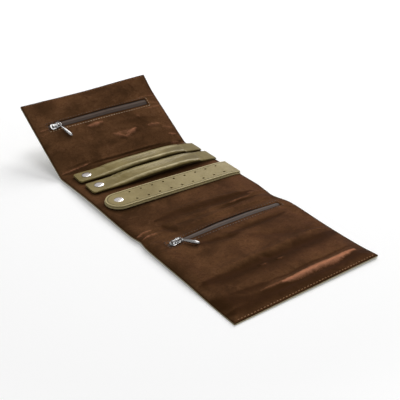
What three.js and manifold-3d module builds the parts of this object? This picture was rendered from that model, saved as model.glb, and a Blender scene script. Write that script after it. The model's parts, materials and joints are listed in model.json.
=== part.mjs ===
// A tri-fold jewelry folder, laid open: a flat middle panel that carries two padded ring bars and a pierced
// earring strap, a near flap and a far flap with a zip pocket each, and a soft spine strip beside each flap.
// Millimetres, +Z up. The origin is the centre of the middle panel's underside, and +Y runs to the far flap.
import * as THREE from "three";
import { mergeVertices } from "three/addons/utils/BufferGeometryUtils.js";
import Module from "manifold-3d";

const wasm = await Module();
wasm.setup();

// Panels
const FOLDER_WIDTH = 170;
const MIDDLE_LENGTH = 160;
const NEAR_SPINE = 16;
const NEAR_FLAP = 144;
const FAR_SPINE = 26;
const FAR_FLAP = 84;
const FAR_TILT = 32; // degrees that the far flap is propped up
const CREASE_GAP = 0.6; // between the solids on the two sides of a crease
const CORNER_RADIUS = 2;
const LINING_INSET = 1; // leather edge that shows round the lining

// Layers
const LEATHER = 1;
const FLAP_PADDING = 0.8;
const BACKING = 0.3;
const LINING = 0.4;
const LAYER_GAP = 0.1; // between layers that lie on each other
const PADDING_INSET = 5;
const BACKING_INSET = 3;

// Zips
const ZIP_WINDOW_WIDTH = 10.4;
const ZIP_WINDOW_RADIUS = 1.5;
const FAR_ZIP_DISTANCE = 69; // from the crease beside the middle panel to the middle of the zip
const NEAR_ZIP_DISTANCE = 30;
const FAR_ZIP_LEFT = 18; // from the folder's edges to the ends of the window
const FAR_ZIP_RIGHT = 18;
const NEAR_ZIP_LEFT = 20.5;
const NEAR_ZIP_RIGHT = 11.5;
const TAPE = 0.3;
const TAPE_WIDTH = 11;
const TAPE_OVERRUN = 6; // tape beyond each end of the window
const COIL_HEIGHT = 0.8;
const COIL_WIDTH = 1.9;
const COIL_OVERRUN = 1.5;
const COIL_PITCH = 4; // scallops along the coil
const COIL_SCALLOP = 0.35;
const ZIP_SPLIT = 1; // between the two rows, where the slider's post runs
const STOP_LENGTH = 2.4;
const RUNNING_GAP = 0.3; // round every piece that moves
const CHANNEL_MARGIN = 0.5;

// Zip slider and pull
const SLIDER_LENGTH = 12;
const SLIDER_WIDTH = 8.4;
const SLIDER_TAIL_WIDTH = 5.2;
const SLIDER_PLATE = 0.6;
const SLIDER_POST_LENGTH = 4;
const SLIDER_POST_WIDTH = 0.5;
const SLIDER_END_CLEARANCE = 2; // from the window's end to the slider
const BRIDGE_SPAN = 9;
const BRIDGE_FOOT = 1.6;
const BRIDGE_WIDTH = 1.8;
const BRIDGE_BAR = 0.8;
const LINK_RADIUS = 3.4;
const LINK_WIRE = 0.4;
const LINK_RISE = 1.2; // from the slider's plate to the link's wire
const PULL_EYE_RADIUS = 1.5;
const PULL_EYE_HOLE = 0.85;
const PULL_EYE_THICKNESS = 1.4;
const PULL_EYE_LIFT = 0.3; // of the eye's middle above the link's wire
const PULL_LENGTH = 18.3;
const PULL_RADIUS = 1.7;
const PULL_NECK_RADIUS = 0.8;
const PULL_TIP_RADIUS = 0.9;
const FAR_PULL_ANGLE = -68; // degrees from +X, in the plane of the flap
const NEAR_PULL_ANGLE = -55;

// Straps
const RING_BAR_1_FROM_CREASE = 22.5; // from the far crease, at the stitch line
const RING_BAR_SPACING = 29.5;
const EARRING_STRAP_SPACING = 42.5; // from the second ring bar
const STRAP_SKEW = 2; // degrees that the straps lean to the far flap at their snaps
const RING_BAR_END = 11.5; // from the folder's left edge to the tab's end
const EARRING_STRAP_END = 9.5;
const SEWN_END = 6; // strap caught under the edge stitching
const SEAT_GAP = 0.3; // under a strap
const TAB_LIFT = 1.5; // of a strap's underside above the lining at its snap
const RING_BAR_WIDTH = 22; // where it is sewn flat
const RING_BAR_TAB_WIDTH = 20;
const RING_BAR_FLAT = 2.6;
const RING_BAR_TUBE_WIDTH = 16.5;
const RING_BAR_TUBE_HEIGHT = 10.5;
const RING_BAR_ARCH = 1.5; // lift of the tube's underside in the middle
const RING_BAR_SEWN_TAPER = 22;
const RING_BAR_TAB_TAPER = 40;
const RING_BAR_TAB_LENGTH = 22;
const RING_BAR_TAB_CORNER = 3;
const RING_BAR_WALL = 1;
const CORE_GAP = 0.2;
const BAR_SEAM = 0.6; // slit where the cover's edges meet, underneath
const BAR_STATIONS = 18;
const BAR_SECTION_POINTS = 16;
const EARRING_STRAP_WIDTH = 31;
const EARRING_TOP_LAYER = 1.2;
const EARRING_BACK_LAYER = 1;
const EARRING_HOLE_RADIUS = 0.8;
const EARRING_HOLE_PITCH = 14;
const EARRING_HOLE_ROWS = 17.5; // between the two rows
const EARRING_HOLES_FROM_SNAP = 17.5;
const EARRING_HOLES_FROM_SEAM = 8; // the least distance of the last pair from the stitch line

// Snaps
const SNAP_FROM_EDGE = 23.5; // from the folder's left edge
const CAP_RADIUS = 5.4;
const CAP_RIM = 0.4;
const CAP_DOME = 0.8;
const CAP_POST_RADIUS = 1.2;
const SOCKET_RADIUS = 4;
const SOCKET_WALL = 0.3; // over the stud's knob
const STUD_BASE_RADIUS = 3.6;
const STUD_BASE = 0.5;
const KNOB_RADIUS = 2;
const KNOB_HEIGHT = 1.4;
const KNOB_CROWN = 0.4;
const EYELET_FLANGE_RADIUS = 3.5;
const EYELET_FLANGE = 0.4;
const EYELET_POST_RADIUS = 1.3;
const POST_CLEARANCE = 0.3;

const ROUND_SIDES = 20;

// Heights in a panel, from the leather's underside
const paddingBottom = LEATHER + LAYER_GAP;
const flapPaddingTop = paddingBottom + FLAP_PADDING;
const backingBottom = flapPaddingTop + LAYER_GAP;
const backingTop = backingBottom + BACKING;
const channelFloorTop = paddingBottom + BACKING;
const lowerPlateBottom = channelFloorTop + RUNNING_GAP;
const lowerPlateTop = lowerPlateBottom + SLIDER_PLATE;
const coilBottom = lowerPlateTop + RUNNING_GAP;
const coilTop = coilBottom + COIL_HEIGHT;
const tapeBottom = coilTop + LAYER_GAP;
const tapeTop = tapeBottom + TAPE;
const liningBottom = tapeTop + LAYER_GAP;
const panelTop = liningBottom + LINING;

// Colours from the photograph
const material = (name, color, roughness, metalness = 0) =>
  new THREE.MeshStandardMaterial({ name, color, roughness, metalness });
const oliveLeather = material("olive leather", 0x8f8258, 0.5);
const brownSatin = material("brown satin lining", 0x4f3020, 0.42);
const padding = material("padding", 0xb8ab92, 0.95);
const zipTape = material("zip tape", 0x4b4038, 0.8);
const nickel = material("polished nickel", 0xd6d6d8, 0.18, 1);

// Solids and geometry

function solidOf(geometry) {
  const plain = geometry.index ? geometry.toNonIndexed() : geometry.clone();
  for (const name of Object.keys(plain.attributes)) {
    if (name !== "position") plain.deleteAttribute(name);
  }
  const merged = mergeVertices(plain, 1e-4);
  return new wasm.Manifold(
    new wasm.Mesh({
      numProp: 3,
      vertProperties: new Float32Array(merged.attributes.position.array),
      triVerts: new Uint32Array(merged.index.array),
    }),
  );
}

function geometryOf(solid) {
  const mesh = solid.getMesh();
  const geometry = new THREE.BufferGeometry();
  geometry.setAttribute("position", new THREE.BufferAttribute(mesh.vertProperties, 3));
  geometry.setIndex(new THREE.BufferAttribute(mesh.triVerts, 1));
  geometry.computeVertexNormals();
  return geometry;
}

function cut(geometry, ...tools) {
  return geometryOf(tools.reduce((solid, tool) => solid.subtract(solidOf(tool)), solidOf(geometry)));
}

function join(geometry, ...others) {
  return geometryOf(others.reduce((solid, other) => solid.add(solidOf(other)), solidOf(geometry)));
}

function block(x0, x1, y0, y1, z0, z1) {
  const geometry = new THREE.BoxGeometry(x1 - x0, y1 - y0, z1 - z0);
  return geometry.translate((x0 + x1) / 2, (y0 + y1) / 2, (z0 + z1) / 2);
}

function post(radius, z0, z1, x = 0, y = 0, sides = ROUND_SIDES) {
  const geometry = new THREE.CylinderGeometry(radius, radius, z1 - z0, sides);
  return geometry.rotateX(Math.PI / 2).translate(x, y, (z0 + z1) / 2);
}

// A profile of [radius, height] points turned about Z. It closes on itself or ends on the axis.
function turned(points, sides = ROUND_SIDES) {
  const profile = points.map(([radius, height]) => new THREE.Vector2(radius, height));
  return new THREE.LatheGeometry(profile, sides).rotateX(Math.PI / 2);
}

function extruded(shape, z0, z1, curveSegments = 4) {
  const options = { depth: z1 - z0, bevelEnabled: false, curveSegments };
  return new THREE.ExtrudeGeometry(shape, options).translate(0, 0, z0);
}

// A rectangle whose corners at y0 and at y1 have their own radius.
function panelShape(x0, x1, y0, y1, radius0, radius1) {
  const shape = new THREE.Shape();
  const corner = (x, y, radius, start) => {
    if (radius > 0) shape.absarc(x, y, radius, start, start + Math.PI / 2, false);
    else shape.lineTo(x, y);
  };
  shape.moveTo(x0 + radius0, y0);
  corner(x1 - radius0, y0 + radius0, radius0, -Math.PI / 2);
  corner(x1 - radius1, y1 - radius1, radius1, 0);
  corner(x0 + radius1, y1 - radius1, radius1, Math.PI / 2);
  corner(x0 + radius0, y0 + radius0, radius0, Math.PI);
  return shape;
}

// A closed skin over rings of points, each ring going the same way round, with flat ends.
function loft(rings) {
  const count = rings[0].length;
  const centres = [rings[0], rings.at(-1)].map((ring) =>
    ring.reduce((sum, p) => sum.add(p), new THREE.Vector3()).divideScalar(count),
  );
  const points = [...rings.flat(), ...centres];
  const index = [];
  for (let r = 0; r + 1 < rings.length; r++) {
    for (let k = 0; k < count; k++) {
      const a = r * count + k;
      const b = r * count + ((k + 1) % count);
      index.push(a, a + count, b, b, a + count, b + count);
    }
  }
  const last = (rings.length - 1) * count;
  for (let k = 0; k < count; k++) {
    const next = (k + 1) % count;
    index.push(points.length - 2, k, next);
    index.push(points.length - 1, last + next, last + k);
  }
  const geometry = new THREE.BufferGeometry().setFromPoints(points);
  geometry.setIndex(index);
  return geometry;
}

function add(group, name, geometry, look) {
  const mesh = new THREE.Mesh(geometry, look);
  mesh.name = name;
  group.add(mesh);
  return mesh;
}

function groupAt(parent, name, x = 0, y = 0, z = 0) {
  const group = new THREE.Group();
  group.name = name;
  group.position.set(x, y, z);
  parent.add(group);
  return group;
}

const halfWidth = FOLDER_WIDTH / 2;
const halfMiddle = MIDDLE_LENGTH / 2;
const radians = THREE.MathUtils.degToRad;
const smooth = THREE.MathUtils.smoothstep;
const mix = THREE.MathUtils.lerp;

// A sheet between two distances from a crease. side is 1 towards the far end and -1 towards the near end,
// and the corners at the free end are rounded.
function sheet(side, from, to, z0, z1, inset, freeInset, freeRadius) {
  const y0 = Math.min(side * from, side * (to - freeInset));
  const y1 = Math.max(side * from, side * (to - freeInset));
  const [low, high] = side > 0 ? [0, freeRadius] : [freeRadius, 0];
  return extruded(panelShape(-halfWidth + inset, halfWidth - inset, y0, y1, low, high), z0, z1);
}

// Middle panel
function buildMiddle(root, snapPlaces) {
  const edge = halfMiddle - CREASE_GAP / 2;
  const plain = (inset, z0, z1) =>
    extruded(panelShape(-halfWidth + inset, halfWidth - inset, -edge, edge, 0, 0), z0, z1);
  const flangeTop = liningBottom - LAYER_GAP;
  add(root, "middle_outer_leather", plain(0, 0, LEATHER), oliveLeather);

  const recesses = snapPlaces.map(([x, y]) =>
    post(EYELET_FLANGE_RADIUS + POST_CLEARANCE, 0, panelTop, x, y),
  );
  const pad = block(-halfWidth + PADDING_INSET, halfWidth - PADDING_INSET, PADDING_INSET - edge,
    edge - PADDING_INSET, paddingBottom, flangeTop);
  add(root, "middle_padding", cut(pad, ...recesses), padding);

  const pierced = snapPlaces.map(([x, y]) =>
    post(EYELET_POST_RADIUS + POST_CLEARANCE, 0, panelTop + LINING, x, y),
  );
  add(root, "middle_lining", cut(plain(LINING_INSET, liningBottom, panelTop), ...pierced), brownSatin);
}

// Snap halves
const studBottom = panelTop + LAYER_GAP;
const knobBottom = studBottom + STUD_BASE;
const knobTop = knobBottom + KNOB_HEIGHT;
const eyeletTop = knobTop - KNOB_CROWN - POST_CLEARANCE;
const tabBottom = panelTop + TAB_LIFT;
const socketBottom = knobBottom + RUNNING_GAP;
const socketTop = knobTop + RUNNING_GAP + SOCKET_WALL;
const recessTop = socketTop + LAYER_GAP;

function buildPanelSnap(root, name, x, y) {
  const place = groupAt(root, name + "_place", x, y, 0);
  const boreRadius = EYELET_POST_RADIUS + POST_CLEARANCE;
  const stud = turned([
    [boreRadius, studBottom],
    [STUD_BASE_RADIUS, studBottom],
    [STUD_BASE_RADIUS, knobBottom],
    [KNOB_RADIUS, knobBottom],
    [KNOB_RADIUS, knobTop - KNOB_CROWN / 2],
    [KNOB_RADIUS - KNOB_CROWN / 2, knobTop],
    [0, knobTop],
    [0, knobTop - KNOB_CROWN],
    [boreRadius, knobTop - KNOB_CROWN],
    [boreRadius, studBottom],
  ]);
  add(place, name + "_snap_stud", stud, nickel);

  const flangeTop = liningBottom - LAYER_GAP;
  const eyelet = turned([
    [0, flangeTop - EYELET_FLANGE],
    [EYELET_FLANGE_RADIUS, flangeTop - EYELET_FLANGE],
    [EYELET_FLANGE_RADIUS, flangeTop],
    [EYELET_POST_RADIUS, flangeTop],
    [EYELET_POST_RADIUS, eyeletTop],
    [0, eyeletTop],
  ]);
  add(place, name + "_snap_eyelet", eyelet, nickel);
}

// The strap's half of a snap. top is the strap's upper face there.
function buildStrapSnap(strap, name, x, y, drop, top) {
  const place = groupAt(strap, name + "_cap_place", x, y, -drop);
  const boreRadius = KNOB_RADIUS + RUNNING_GAP;
  const socket = turned([
    [boreRadius, socketBottom],
    [SOCKET_RADIUS, socketBottom],
    [SOCKET_RADIUS, socketTop],
    [0, socketTop],
    [0, socketTop - SOCKET_WALL],
    [boreRadius, socketTop - SOCKET_WALL],
    [boreRadius, socketBottom],
  ]);
  add(place, name + "_snap_socket", socket, nickel);

  const capBottom = top + LAYER_GAP;
  const rim = capBottom + CAP_RIM;
  const dome = [0.35, 0.7, 1].map((share) => [
    CAP_RADIUS * Math.cos((share * Math.PI) / 2),
    rim + CAP_DOME * Math.sin((share * Math.PI) / 2),
  ]);
  dome[dome.length - 1][0] = 0;
  const cap = turned([
    [0, recessTop],
    [CAP_POST_RADIUS, recessTop],
    [CAP_POST_RADIUS, capBottom],
    [CAP_RADIUS, capBottom],
    [CAP_RADIUS, rim],
    ...dome,
  ]);
  add(place, name + "_snap_cap", cap, nickel);
}

function snapHoles(x, y, top) {
  return [
    post(SOCKET_RADIUS + POST_CLEARANCE, 0, recessTop, x, y),
    post(CAP_POST_RADIUS + POST_CLEARANCE, 0, top + RING_BAR_FLAT, x, y),
  ];
}

// Ring bars: a leather tube on a soft core, pressed flat at its sewn end and at its snap tab
const sewnX = halfWidth - SEWN_END;
const snapReach = sewnX + halfWidth - SNAP_FROM_EDGE;
const barLength = sewnX + halfWidth - RING_BAR_END;
const strapReach = sewnX + halfWidth - EARRING_STRAP_END;
const ringBar1Y = halfMiddle - RING_BAR_1_FROM_CREASE;
const ringBar2Y = ringBar1Y - RING_BAR_SPACING;
const earringStrapY = ringBar2Y - EARRING_STRAP_SPACING;

// A group on a strap's stitch line, turned so that the strap runs along its -X
function strapGroup(root, name, y) {
  const group = groupAt(root, name, sewnX, y, 0);
  group.rotation.z = -radians(STRAP_SKEW);
  return group;
}

function snapPlace(y) {
  const lean = radians(STRAP_SKEW);
  return [sewnX - snapReach * Math.cos(lean), y + snapReach * Math.sin(lean)];
}

function barSection(u, inset) {
  const rises = smooth(u, 0, RING_BAR_SEWN_TAPER);
  const falls = smooth(barLength - u, RING_BAR_TAB_LENGTH, RING_BAR_TAB_LENGTH + RING_BAR_TAB_TAPER);
  const round = Math.min(rises, falls);
  const tabShare = smooth(u, RING_BAR_SEWN_TAPER, barLength - RING_BAR_TAB_LENGTH);
  const flatWidth = mix(RING_BAR_WIDTH, RING_BAR_TAB_WIDTH, tabShare);
  const cornerStart = Math.max(0, RING_BAR_TAB_CORNER - (barLength - u)) / RING_BAR_TAB_CORNER;
  const cornerCut = RING_BAR_TAB_CORNER * (1 - Math.sqrt(1 - cornerStart * cornerStart * 0.98));
  const flatBottom = panelTop + mix(SEAT_GAP, TAB_LIFT, tabShare);
  const halfHeight = mix(RING_BAR_FLAT, RING_BAR_TUBE_HEIGHT, round) / 2;
  const bottom = mix(flatBottom, panelTop + SEAT_GAP + RING_BAR_ARCH, round);
  return {
    across: mix(flatWidth, RING_BAR_TUBE_WIDTH, round) / 2 - cornerCut - inset,
    up: halfHeight - inset,
    middle: bottom + halfHeight,
    power: 2 / mix(5, 2.2, round),
  };
}

function barLoft(from, to, inset) {
  const rings = [];
  const cornerStations = to > barLength - RING_BAR_TAB_CORNER ? [0.4, 0.15, 0] : [];
  const straightEnd = cornerStations.length ? barLength - RING_BAR_TAB_CORNER : to;
  const stations = [];
  for (let k = 0; k < BAR_STATIONS; k++) {
    stations.push(mix(from, straightEnd, k / (BAR_STATIONS - 1)));
  }
  cornerStations.forEach((share) => stations.push(barLength - share * RING_BAR_TAB_CORNER));
  for (const u of stations) {
    const { across, up, middle, power } = barSection(u, inset);
    const ring = [];
    for (let k = 0; k < BAR_SECTION_POINTS; k++) {
      const angle = ((k + 0.5) / BAR_SECTION_POINTS) * 2 * Math.PI;
      const bend = (value) => Math.sign(value) * Math.abs(value) ** power;
      const y = across * bend(Math.cos(angle));
      ring.push(new THREE.Vector3(-u, y, middle + up * bend(Math.sin(angle))));
    }
    rings.push(ring);
  }
  return loft(rings);
}

function buildRingBar(root, name, y) {
  const bar = strapGroup(root, name, y);
  const tabTop = tabBottom + RING_BAR_FLAT;
  const hollowFrom = RING_BAR_SEWN_TAPER / 2;
  const hollowTo = barLength - RING_BAR_TAB_LENGTH - RING_BAR_TAB_TAPER / 3;
  const seamEnd = RING_BAR_WALL * 2;
  const seam = block(seamEnd - hollowTo, -hollowFrom - seamEnd, -BAR_SEAM / 2, BAR_SEAM / 2, panelTop,
    panelTop + RING_BAR_TUBE_HEIGHT / 2);
  const cover = cut(barLoft(0, barLength, 0), barLoft(hollowFrom, hollowTo, RING_BAR_WALL), seam,
    ...snapHoles(-snapReach, 0, tabTop));
  add(bar, name + "_cover", cover, oliveLeather);

  const core = barLoft(hollowFrom + CORE_GAP, hollowTo - CORE_GAP, RING_BAR_WALL + CORE_GAP);
  add(bar, name + "_core", core, padding);
  buildStrapSnap(bar, name, -snapReach, 0, 0, tabTop);

  const halfEnd = RING_BAR_WIDTH / 2;
  const endTop = panelTop + SEAT_GAP + RING_BAR_FLAT;
  const end = block(RUNNING_GAP, SEWN_END - LINING_INSET, -halfEnd, halfEnd, panelTop + LAYER_GAP, endTop);
  add(bar, name + "_sewn_end", end, oliveLeather);
  groupAt(bar, name + "_hinge", 0, 0, endTop);
}

// Earring strap: two layers of leather with pairs of holes, round at its snap end
const strapThickness = EARRING_BACK_LAYER + LAYER_GAP + EARRING_TOP_LAYER;

function buildEarringStrap(root) {
  const name = "earring_strap";
  const strapBottom = panelTop + SEAT_GAP;
  const line = strapGroup(root, name + "_line", earringStrapY);
  const strap = groupAt(line, name, 0, 0, strapBottom);
  strap.rotation.y = Math.atan2(TAB_LIFT - SEAT_GAP, snapReach);

  const half = EARRING_STRAP_WIDTH / 2;
  const shape = new THREE.Shape();
  shape.moveTo(0, -half);
  shape.lineTo(0, half);
  shape.lineTo(half - strapReach, half);
  shape.absarc(half - strapReach, 0, half, Math.PI / 2, (3 * Math.PI) / 2, false);
  const holeRoom = snapReach - EARRING_HOLES_FROM_SNAP - EARRING_HOLES_FROM_SEAM;
  const lastPair = Math.floor(holeRoom / EARRING_HOLE_PITCH);
  for (let k = 0; k <= lastPair; k++) {
    for (const row of [-0.5, 0.5]) {
      const hole = new THREE.Path();
      const x = EARRING_HOLES_FROM_SNAP + k * EARRING_HOLE_PITCH - snapReach;
      hole.absarc(x, row * EARRING_HOLE_ROWS, EARRING_HOLE_RADIUS, 0, 2 * Math.PI, true);
      shape.holes.push(hole);
    }
  }
  const segments = 5;
  const back = extruded(shape, 0, EARRING_BACK_LAYER, segments);
  const topBottom = EARRING_BACK_LAYER + LAYER_GAP;
  const top = extruded(shape, topBottom, strapThickness, segments);
  // The snap's heights are given from the panel's underside, so they drop to the strap's own zero there.
  const drop = tabBottom;
  const holes = snapHoles(-snapReach, 0, tabBottom + strapThickness).map((hole) =>
    hole.translate(0, 0, -drop),
  );
  add(strap, name + "_backing", cut(back, ...holes), oliveLeather);
  add(strap, name + "_top", cut(top, ...holes), oliveLeather);
  buildStrapSnap(strap, name, -snapReach, 0, drop, tabBottom + strapThickness);

  const endTop = strapBottom + strapThickness;
  const end = block(RUNNING_GAP, SEWN_END - LINING_INSET, -half, half, panelTop + LAYER_GAP, endTop);
  add(line, name + "_sewn_end", end, oliveLeather);
  groupAt(line, name + "_hinge", 0, 0, endTop);
}

// One row of a coil zip, with a scalloped inner edge. side is 1 for the row on the +Y side.
function coilRow(x0, x1, side) {
  const inner = ZIP_SPLIT / 2;
  const shape = new THREE.Shape();
  shape.moveTo(x0, side * (inner + COIL_WIDTH));
  shape.lineTo(x0, side * (inner + COIL_SCALLOP));
  const count = Math.round((x1 - x0) / COIL_PITCH);
  const pitch = (x1 - x0) / count;
  for (let k = 0; k < count; k++) {
    shape.lineTo(x0 + (k + 0.5) * pitch, side * inner);
    shape.lineTo(x0 + (k + 1) * pitch, side * (inner + COIL_SCALLOP));
  }
  shape.lineTo(x1, side * (inner + COIL_WIDTH));
  return extruded(shape, coilBottom, coilTop);
}

function buildZip(flap, name, x, y, half) {
  const zip = groupAt(flap, name + "_zip", x, y, 0);
  const tapeHalf = half + TAPE_OVERRUN;
  const coilHalf = half + COIL_OVERRUN;
  const inner = ZIP_SPLIT / 2;
  for (const [row, side] of [["upper", 1], ["lower", -1]]) {
    const edges = [side * inner, side * (inner + TAPE_WIDTH)].sort((a, b) => a - b);
    const tape = block(-tapeHalf, tapeHalf, ...edges, tapeBottom, tapeTop);
    add(zip, name + "_zip_" + row + "_tape", tape, zipTape);
    add(zip, name + "_zip_" + row + "_coil", coilRow(-coilHalf, coilHalf, side), zipTape);
  }
  const stopHalf = inner + COIL_WIDTH;
  for (const [end, side] of [["top", -1], ["bottom", 1]]) {
    const near = side * (coilHalf + RUNNING_GAP);
    const ends = [near, near + side * STOP_LENGTH].sort((a, b) => a - b);
    const stop = block(...ends, -stopHalf, stopHalf, coilBottom, coilTop);
    add(zip, name + "_zip_" + end + "_stop", stop, nickel);
  }
  return zip;
}

// The slider's shield outline, wide shoulders at -X where the rows part
function sliderShape() {
  const front = -SLIDER_LENGTH / 2;
  const back = SLIDER_LENGTH / 2;
  const wide = SLIDER_WIDTH / 2;
  const tail = SLIDER_TAIL_WIDTH / 2;
  const shape = new THREE.Shape();
  shape.moveTo(front, 0);
  shape.quadraticCurveTo(front, -wide, front + SLIDER_LENGTH / 4, -wide);
  shape.lineTo(back - SLIDER_LENGTH / 4, -tail);
  shape.quadraticCurveTo(back, -tail, back, 0);
  shape.quadraticCurveTo(back, tail, back - SLIDER_LENGTH / 4, tail);
  shape.lineTo(front + SLIDER_LENGTH / 4, wide);
  shape.quadraticCurveTo(front, wide, front, 0);
  return shape;
}

const upperPlateBottom = tapeTop + RUNNING_GAP;
const upperPlateTop = upperPlateBottom + SLIDER_PLATE;
const linkHeight = upperPlateTop + LINK_RISE + LINK_WIRE;
const barBottom = linkHeight + LINK_WIRE + RUNNING_GAP;
const barTop = barBottom + BRIDGE_BAR;

function buildSlider(zip, name, windowHalf, pullAngle) {
  const startX = -windowHalf + SLIDER_END_CLEARANCE + SLIDER_LENGTH / 2;
  const slider = groupAt(zip, name + "_slider_place", startX, 0, 0);
  const outline = sliderShape();
  const front = -SLIDER_LENGTH / 2;
  const neck = block(front, front + SLIDER_POST_LENGTH, -SLIDER_POST_WIDTH / 2, SLIDER_POST_WIDTH / 2,
    lowerPlateBottom, upperPlateTop);
  const neckInPlan = extruded(outline, lowerPlateBottom, upperPlateTop);
  const neckSolid = geometryOf(solidOf(neck).intersect(solidOf(neckInPlan)));

  const bridgeHalf = BRIDGE_SPAN / 2;
  const profile = new THREE.Shape();
  const bend = BRIDGE_FOOT / 2;
  profile.moveTo(-bridgeHalf, upperPlateTop - SLIDER_PLATE / 2);
  profile.lineTo(-bridgeHalf + BRIDGE_FOOT, upperPlateTop - SLIDER_PLATE / 2);
  profile.lineTo(-bridgeHalf + BRIDGE_FOOT, barBottom - bend / 2);
  profile.lineTo(-bridgeHalf + BRIDGE_FOOT + bend / 2, barBottom);
  profile.lineTo(bridgeHalf - BRIDGE_FOOT, barBottom);
  profile.lineTo(bridgeHalf - BRIDGE_FOOT, upperPlateTop - SLIDER_PLATE / 2);
  profile.lineTo(bridgeHalf, upperPlateTop - SLIDER_PLATE / 2);
  profile.lineTo(bridgeHalf, barTop - bend);
  profile.quadraticCurveTo(bridgeHalf, barTop, bridgeHalf - bend, barTop);
  profile.lineTo(-bridgeHalf + bend, barTop);
  profile.quadraticCurveTo(-bridgeHalf, barTop, -bridgeHalf, barTop - bend);
  const bridge = extruded(profile, -BRIDGE_WIDTH / 2, BRIDGE_WIDTH / 2).rotateX(Math.PI / 2);

  const body = join(
    extruded(outline, lowerPlateBottom, lowerPlateTop),
    neckSolid,
    extruded(outline, upperPlateBottom, upperPlateTop),
    bridge,
  );
  add(slider, name + "_zip_slider", body, nickel);
  buildPull(slider, name, bridgeHalf - BRIDGE_FOOT / 2, pullAngle);
}

// A wire link lies round the bridge's foot, and the pull's eye hangs on the link.
function buildPull(slider, name, footX, pullAngle) {
  const link = groupAt(slider, name + "_link_pivot", footX, 0, linkHeight);
  link.rotation.z = radians(pullAngle);
  const ring = new THREE.TorusGeometry(LINK_RADIUS, LINK_WIRE, 6, 16);
  add(link, name + "_zip_pull_link", ring, nickel);

  const pull = groupAt(link, name + "_pull_pivot", LINK_RADIUS, 0, 0);
  const eyeBlank = turned([
    [PULL_EYE_HOLE, -PULL_EYE_THICKNESS / 2],
    [PULL_EYE_RADIUS, -PULL_EYE_THICKNESS / 2],
    [PULL_EYE_RADIUS, PULL_EYE_THICKNESS / 2],
    [PULL_EYE_HOLE, PULL_EYE_THICKNESS / 2],
    [PULL_EYE_HOLE, -PULL_EYE_THICKNESS / 2],
  ]);
  const eye = eyeBlank.rotateX(Math.PI / 2).translate(0, 0, PULL_EYE_LIFT);
  const neckStart = (PULL_EYE_HOLE + PULL_EYE_RADIUS) / 2;
  const barrel = turned(
    [
      [0, neckStart],
      [PULL_NECK_RADIUS, neckStart],
      [PULL_NECK_RADIUS, mix(neckStart, PULL_LENGTH, 0.14)],
      [PULL_RADIUS * 0.8, mix(neckStart, PULL_LENGTH, 0.2)],
      [PULL_RADIUS, mix(neckStart, PULL_LENGTH, 0.55)],
      [PULL_RADIUS * 0.86, mix(neckStart, PULL_LENGTH, 0.8)],
      [PULL_TIP_RADIUS, mix(neckStart, PULL_LENGTH, 0.97)],
      [0, PULL_LENGTH],
    ],
    12,
  ).rotateY(Math.PI / 2).translate(0, 0, PULL_EYE_LIFT);
  add(pull, name + "_zip_pull", join(eye, barrel), nickel);
}

// A flap with a zip pocket. fromCrease is how far it starts from the middle panel's crease, and the last
// argument gives the zip's place.
function buildFlap(flap, name, side, length, fromCrease, { distance, left, right, pullAngle }) {
  const from = CREASE_GAP / 2;
  const zipY = side * (distance - fromCrease);
  const zipX = (left - right) / 2;
  const windowHalf = (FOLDER_WIDTH - left - right) / 2;
  const channelHalf = SLIDER_WIDTH / 2 + CHANNEL_MARGIN;
  const channelEnd = windowHalf + COIL_OVERRUN + STOP_LENGTH + CHANNEL_MARGIN * 2;
  const aboutZip = (endReach, halfReach, z0, z1) =>
    block(zipX - endReach, zipX + endReach, zipY - halfReach, zipY + halfReach, z0, z1);

  add(flap, name + "_outer_leather", sheet(side, from, length, 0, LEATHER, 0, 0, CORNER_RADIUS), oliveLeather);

  const wallOut = channelHalf + BACKING;
  const endOut = channelEnd + BACKING;
  const pad = sheet(side, PADDING_INSET, length, paddingBottom, flapPaddingTop, PADDING_INSET, PADDING_INSET, 0);
  const padWindow = aboutZip(endOut + POST_CLEARANCE, wallOut + POST_CLEARANCE, 0, panelTop);
  add(flap, name + "_padding", cut(pad, padWindow), padding);

  // The pocket's back has a pressed channel that leaves room for the slider.
  const back = sheet(side, BACKING_INSET, length, backingBottom, backingTop, BACKING_INSET, BACKING_INSET, 0);
  const trough = aboutZip(endOut, wallOut, paddingBottom, backingTop);
  const room = aboutZip(channelEnd, channelHalf, channelFloorTop, panelTop);
  add(flap, name + "_pocket_back", cut(join(back, trough), room), brownSatin);

  const window = extruded(
    panelShape(zipX - windowHalf, zipX + windowHalf, zipY - ZIP_WINDOW_WIDTH / 2,
      zipY + ZIP_WINDOW_WIDTH / 2, ZIP_WINDOW_RADIUS, ZIP_WINDOW_RADIUS),
    0,
    panelTop + LINING,
  );
  const front = sheet(side, from, length, liningBottom, panelTop, LINING_INSET, LINING_INSET, CORNER_RADIUS);
  add(flap, name + "_pocket_lining", cut(front, window), brownSatin);

  const zip = buildZip(flap, name, zipX, zipY, windowHalf);
  buildSlider(zip, name, windowHalf, pullAngle);
}

// A soft strip between two creases, with no padding, so that it bends
function buildSpine(spine, name, side, width) {
  const from = CREASE_GAP / 2;
  const to = width - CREASE_GAP / 2;
  add(spine, name + "_outer_leather", sheet(side, from, to, 0, LEATHER, 0, 0, 0), oliveLeather);
  const strip = sheet(side, from, to, paddingBottom, panelTop, LINING_INSET, 0, 0);
  add(spine, name + "_lining", strip, brownSatin);
}

// A spine and its flap, hinged at the lining's face
function buildSide(root, name, side, spineWidth, flapLength, tilt, zip) {
  const crease = groupAt(root, name + "_spine_hinge", 0, side * halfMiddle, panelTop);
  crease.rotation.x = radians(tilt);
  const spine = groupAt(crease, name + "_spine_layers", 0, 0, -panelTop);
  buildSpine(spine, name + "_spine", side, spineWidth);
  const fold = groupAt(crease, name + "_flap_hinge", 0, side * spineWidth, 0);
  const flap = groupAt(fold, name + "_flap_layers", 0, 0, -panelTop);
  buildFlap(flap, name, side, flapLength, spineWidth, zip);
}

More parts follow.
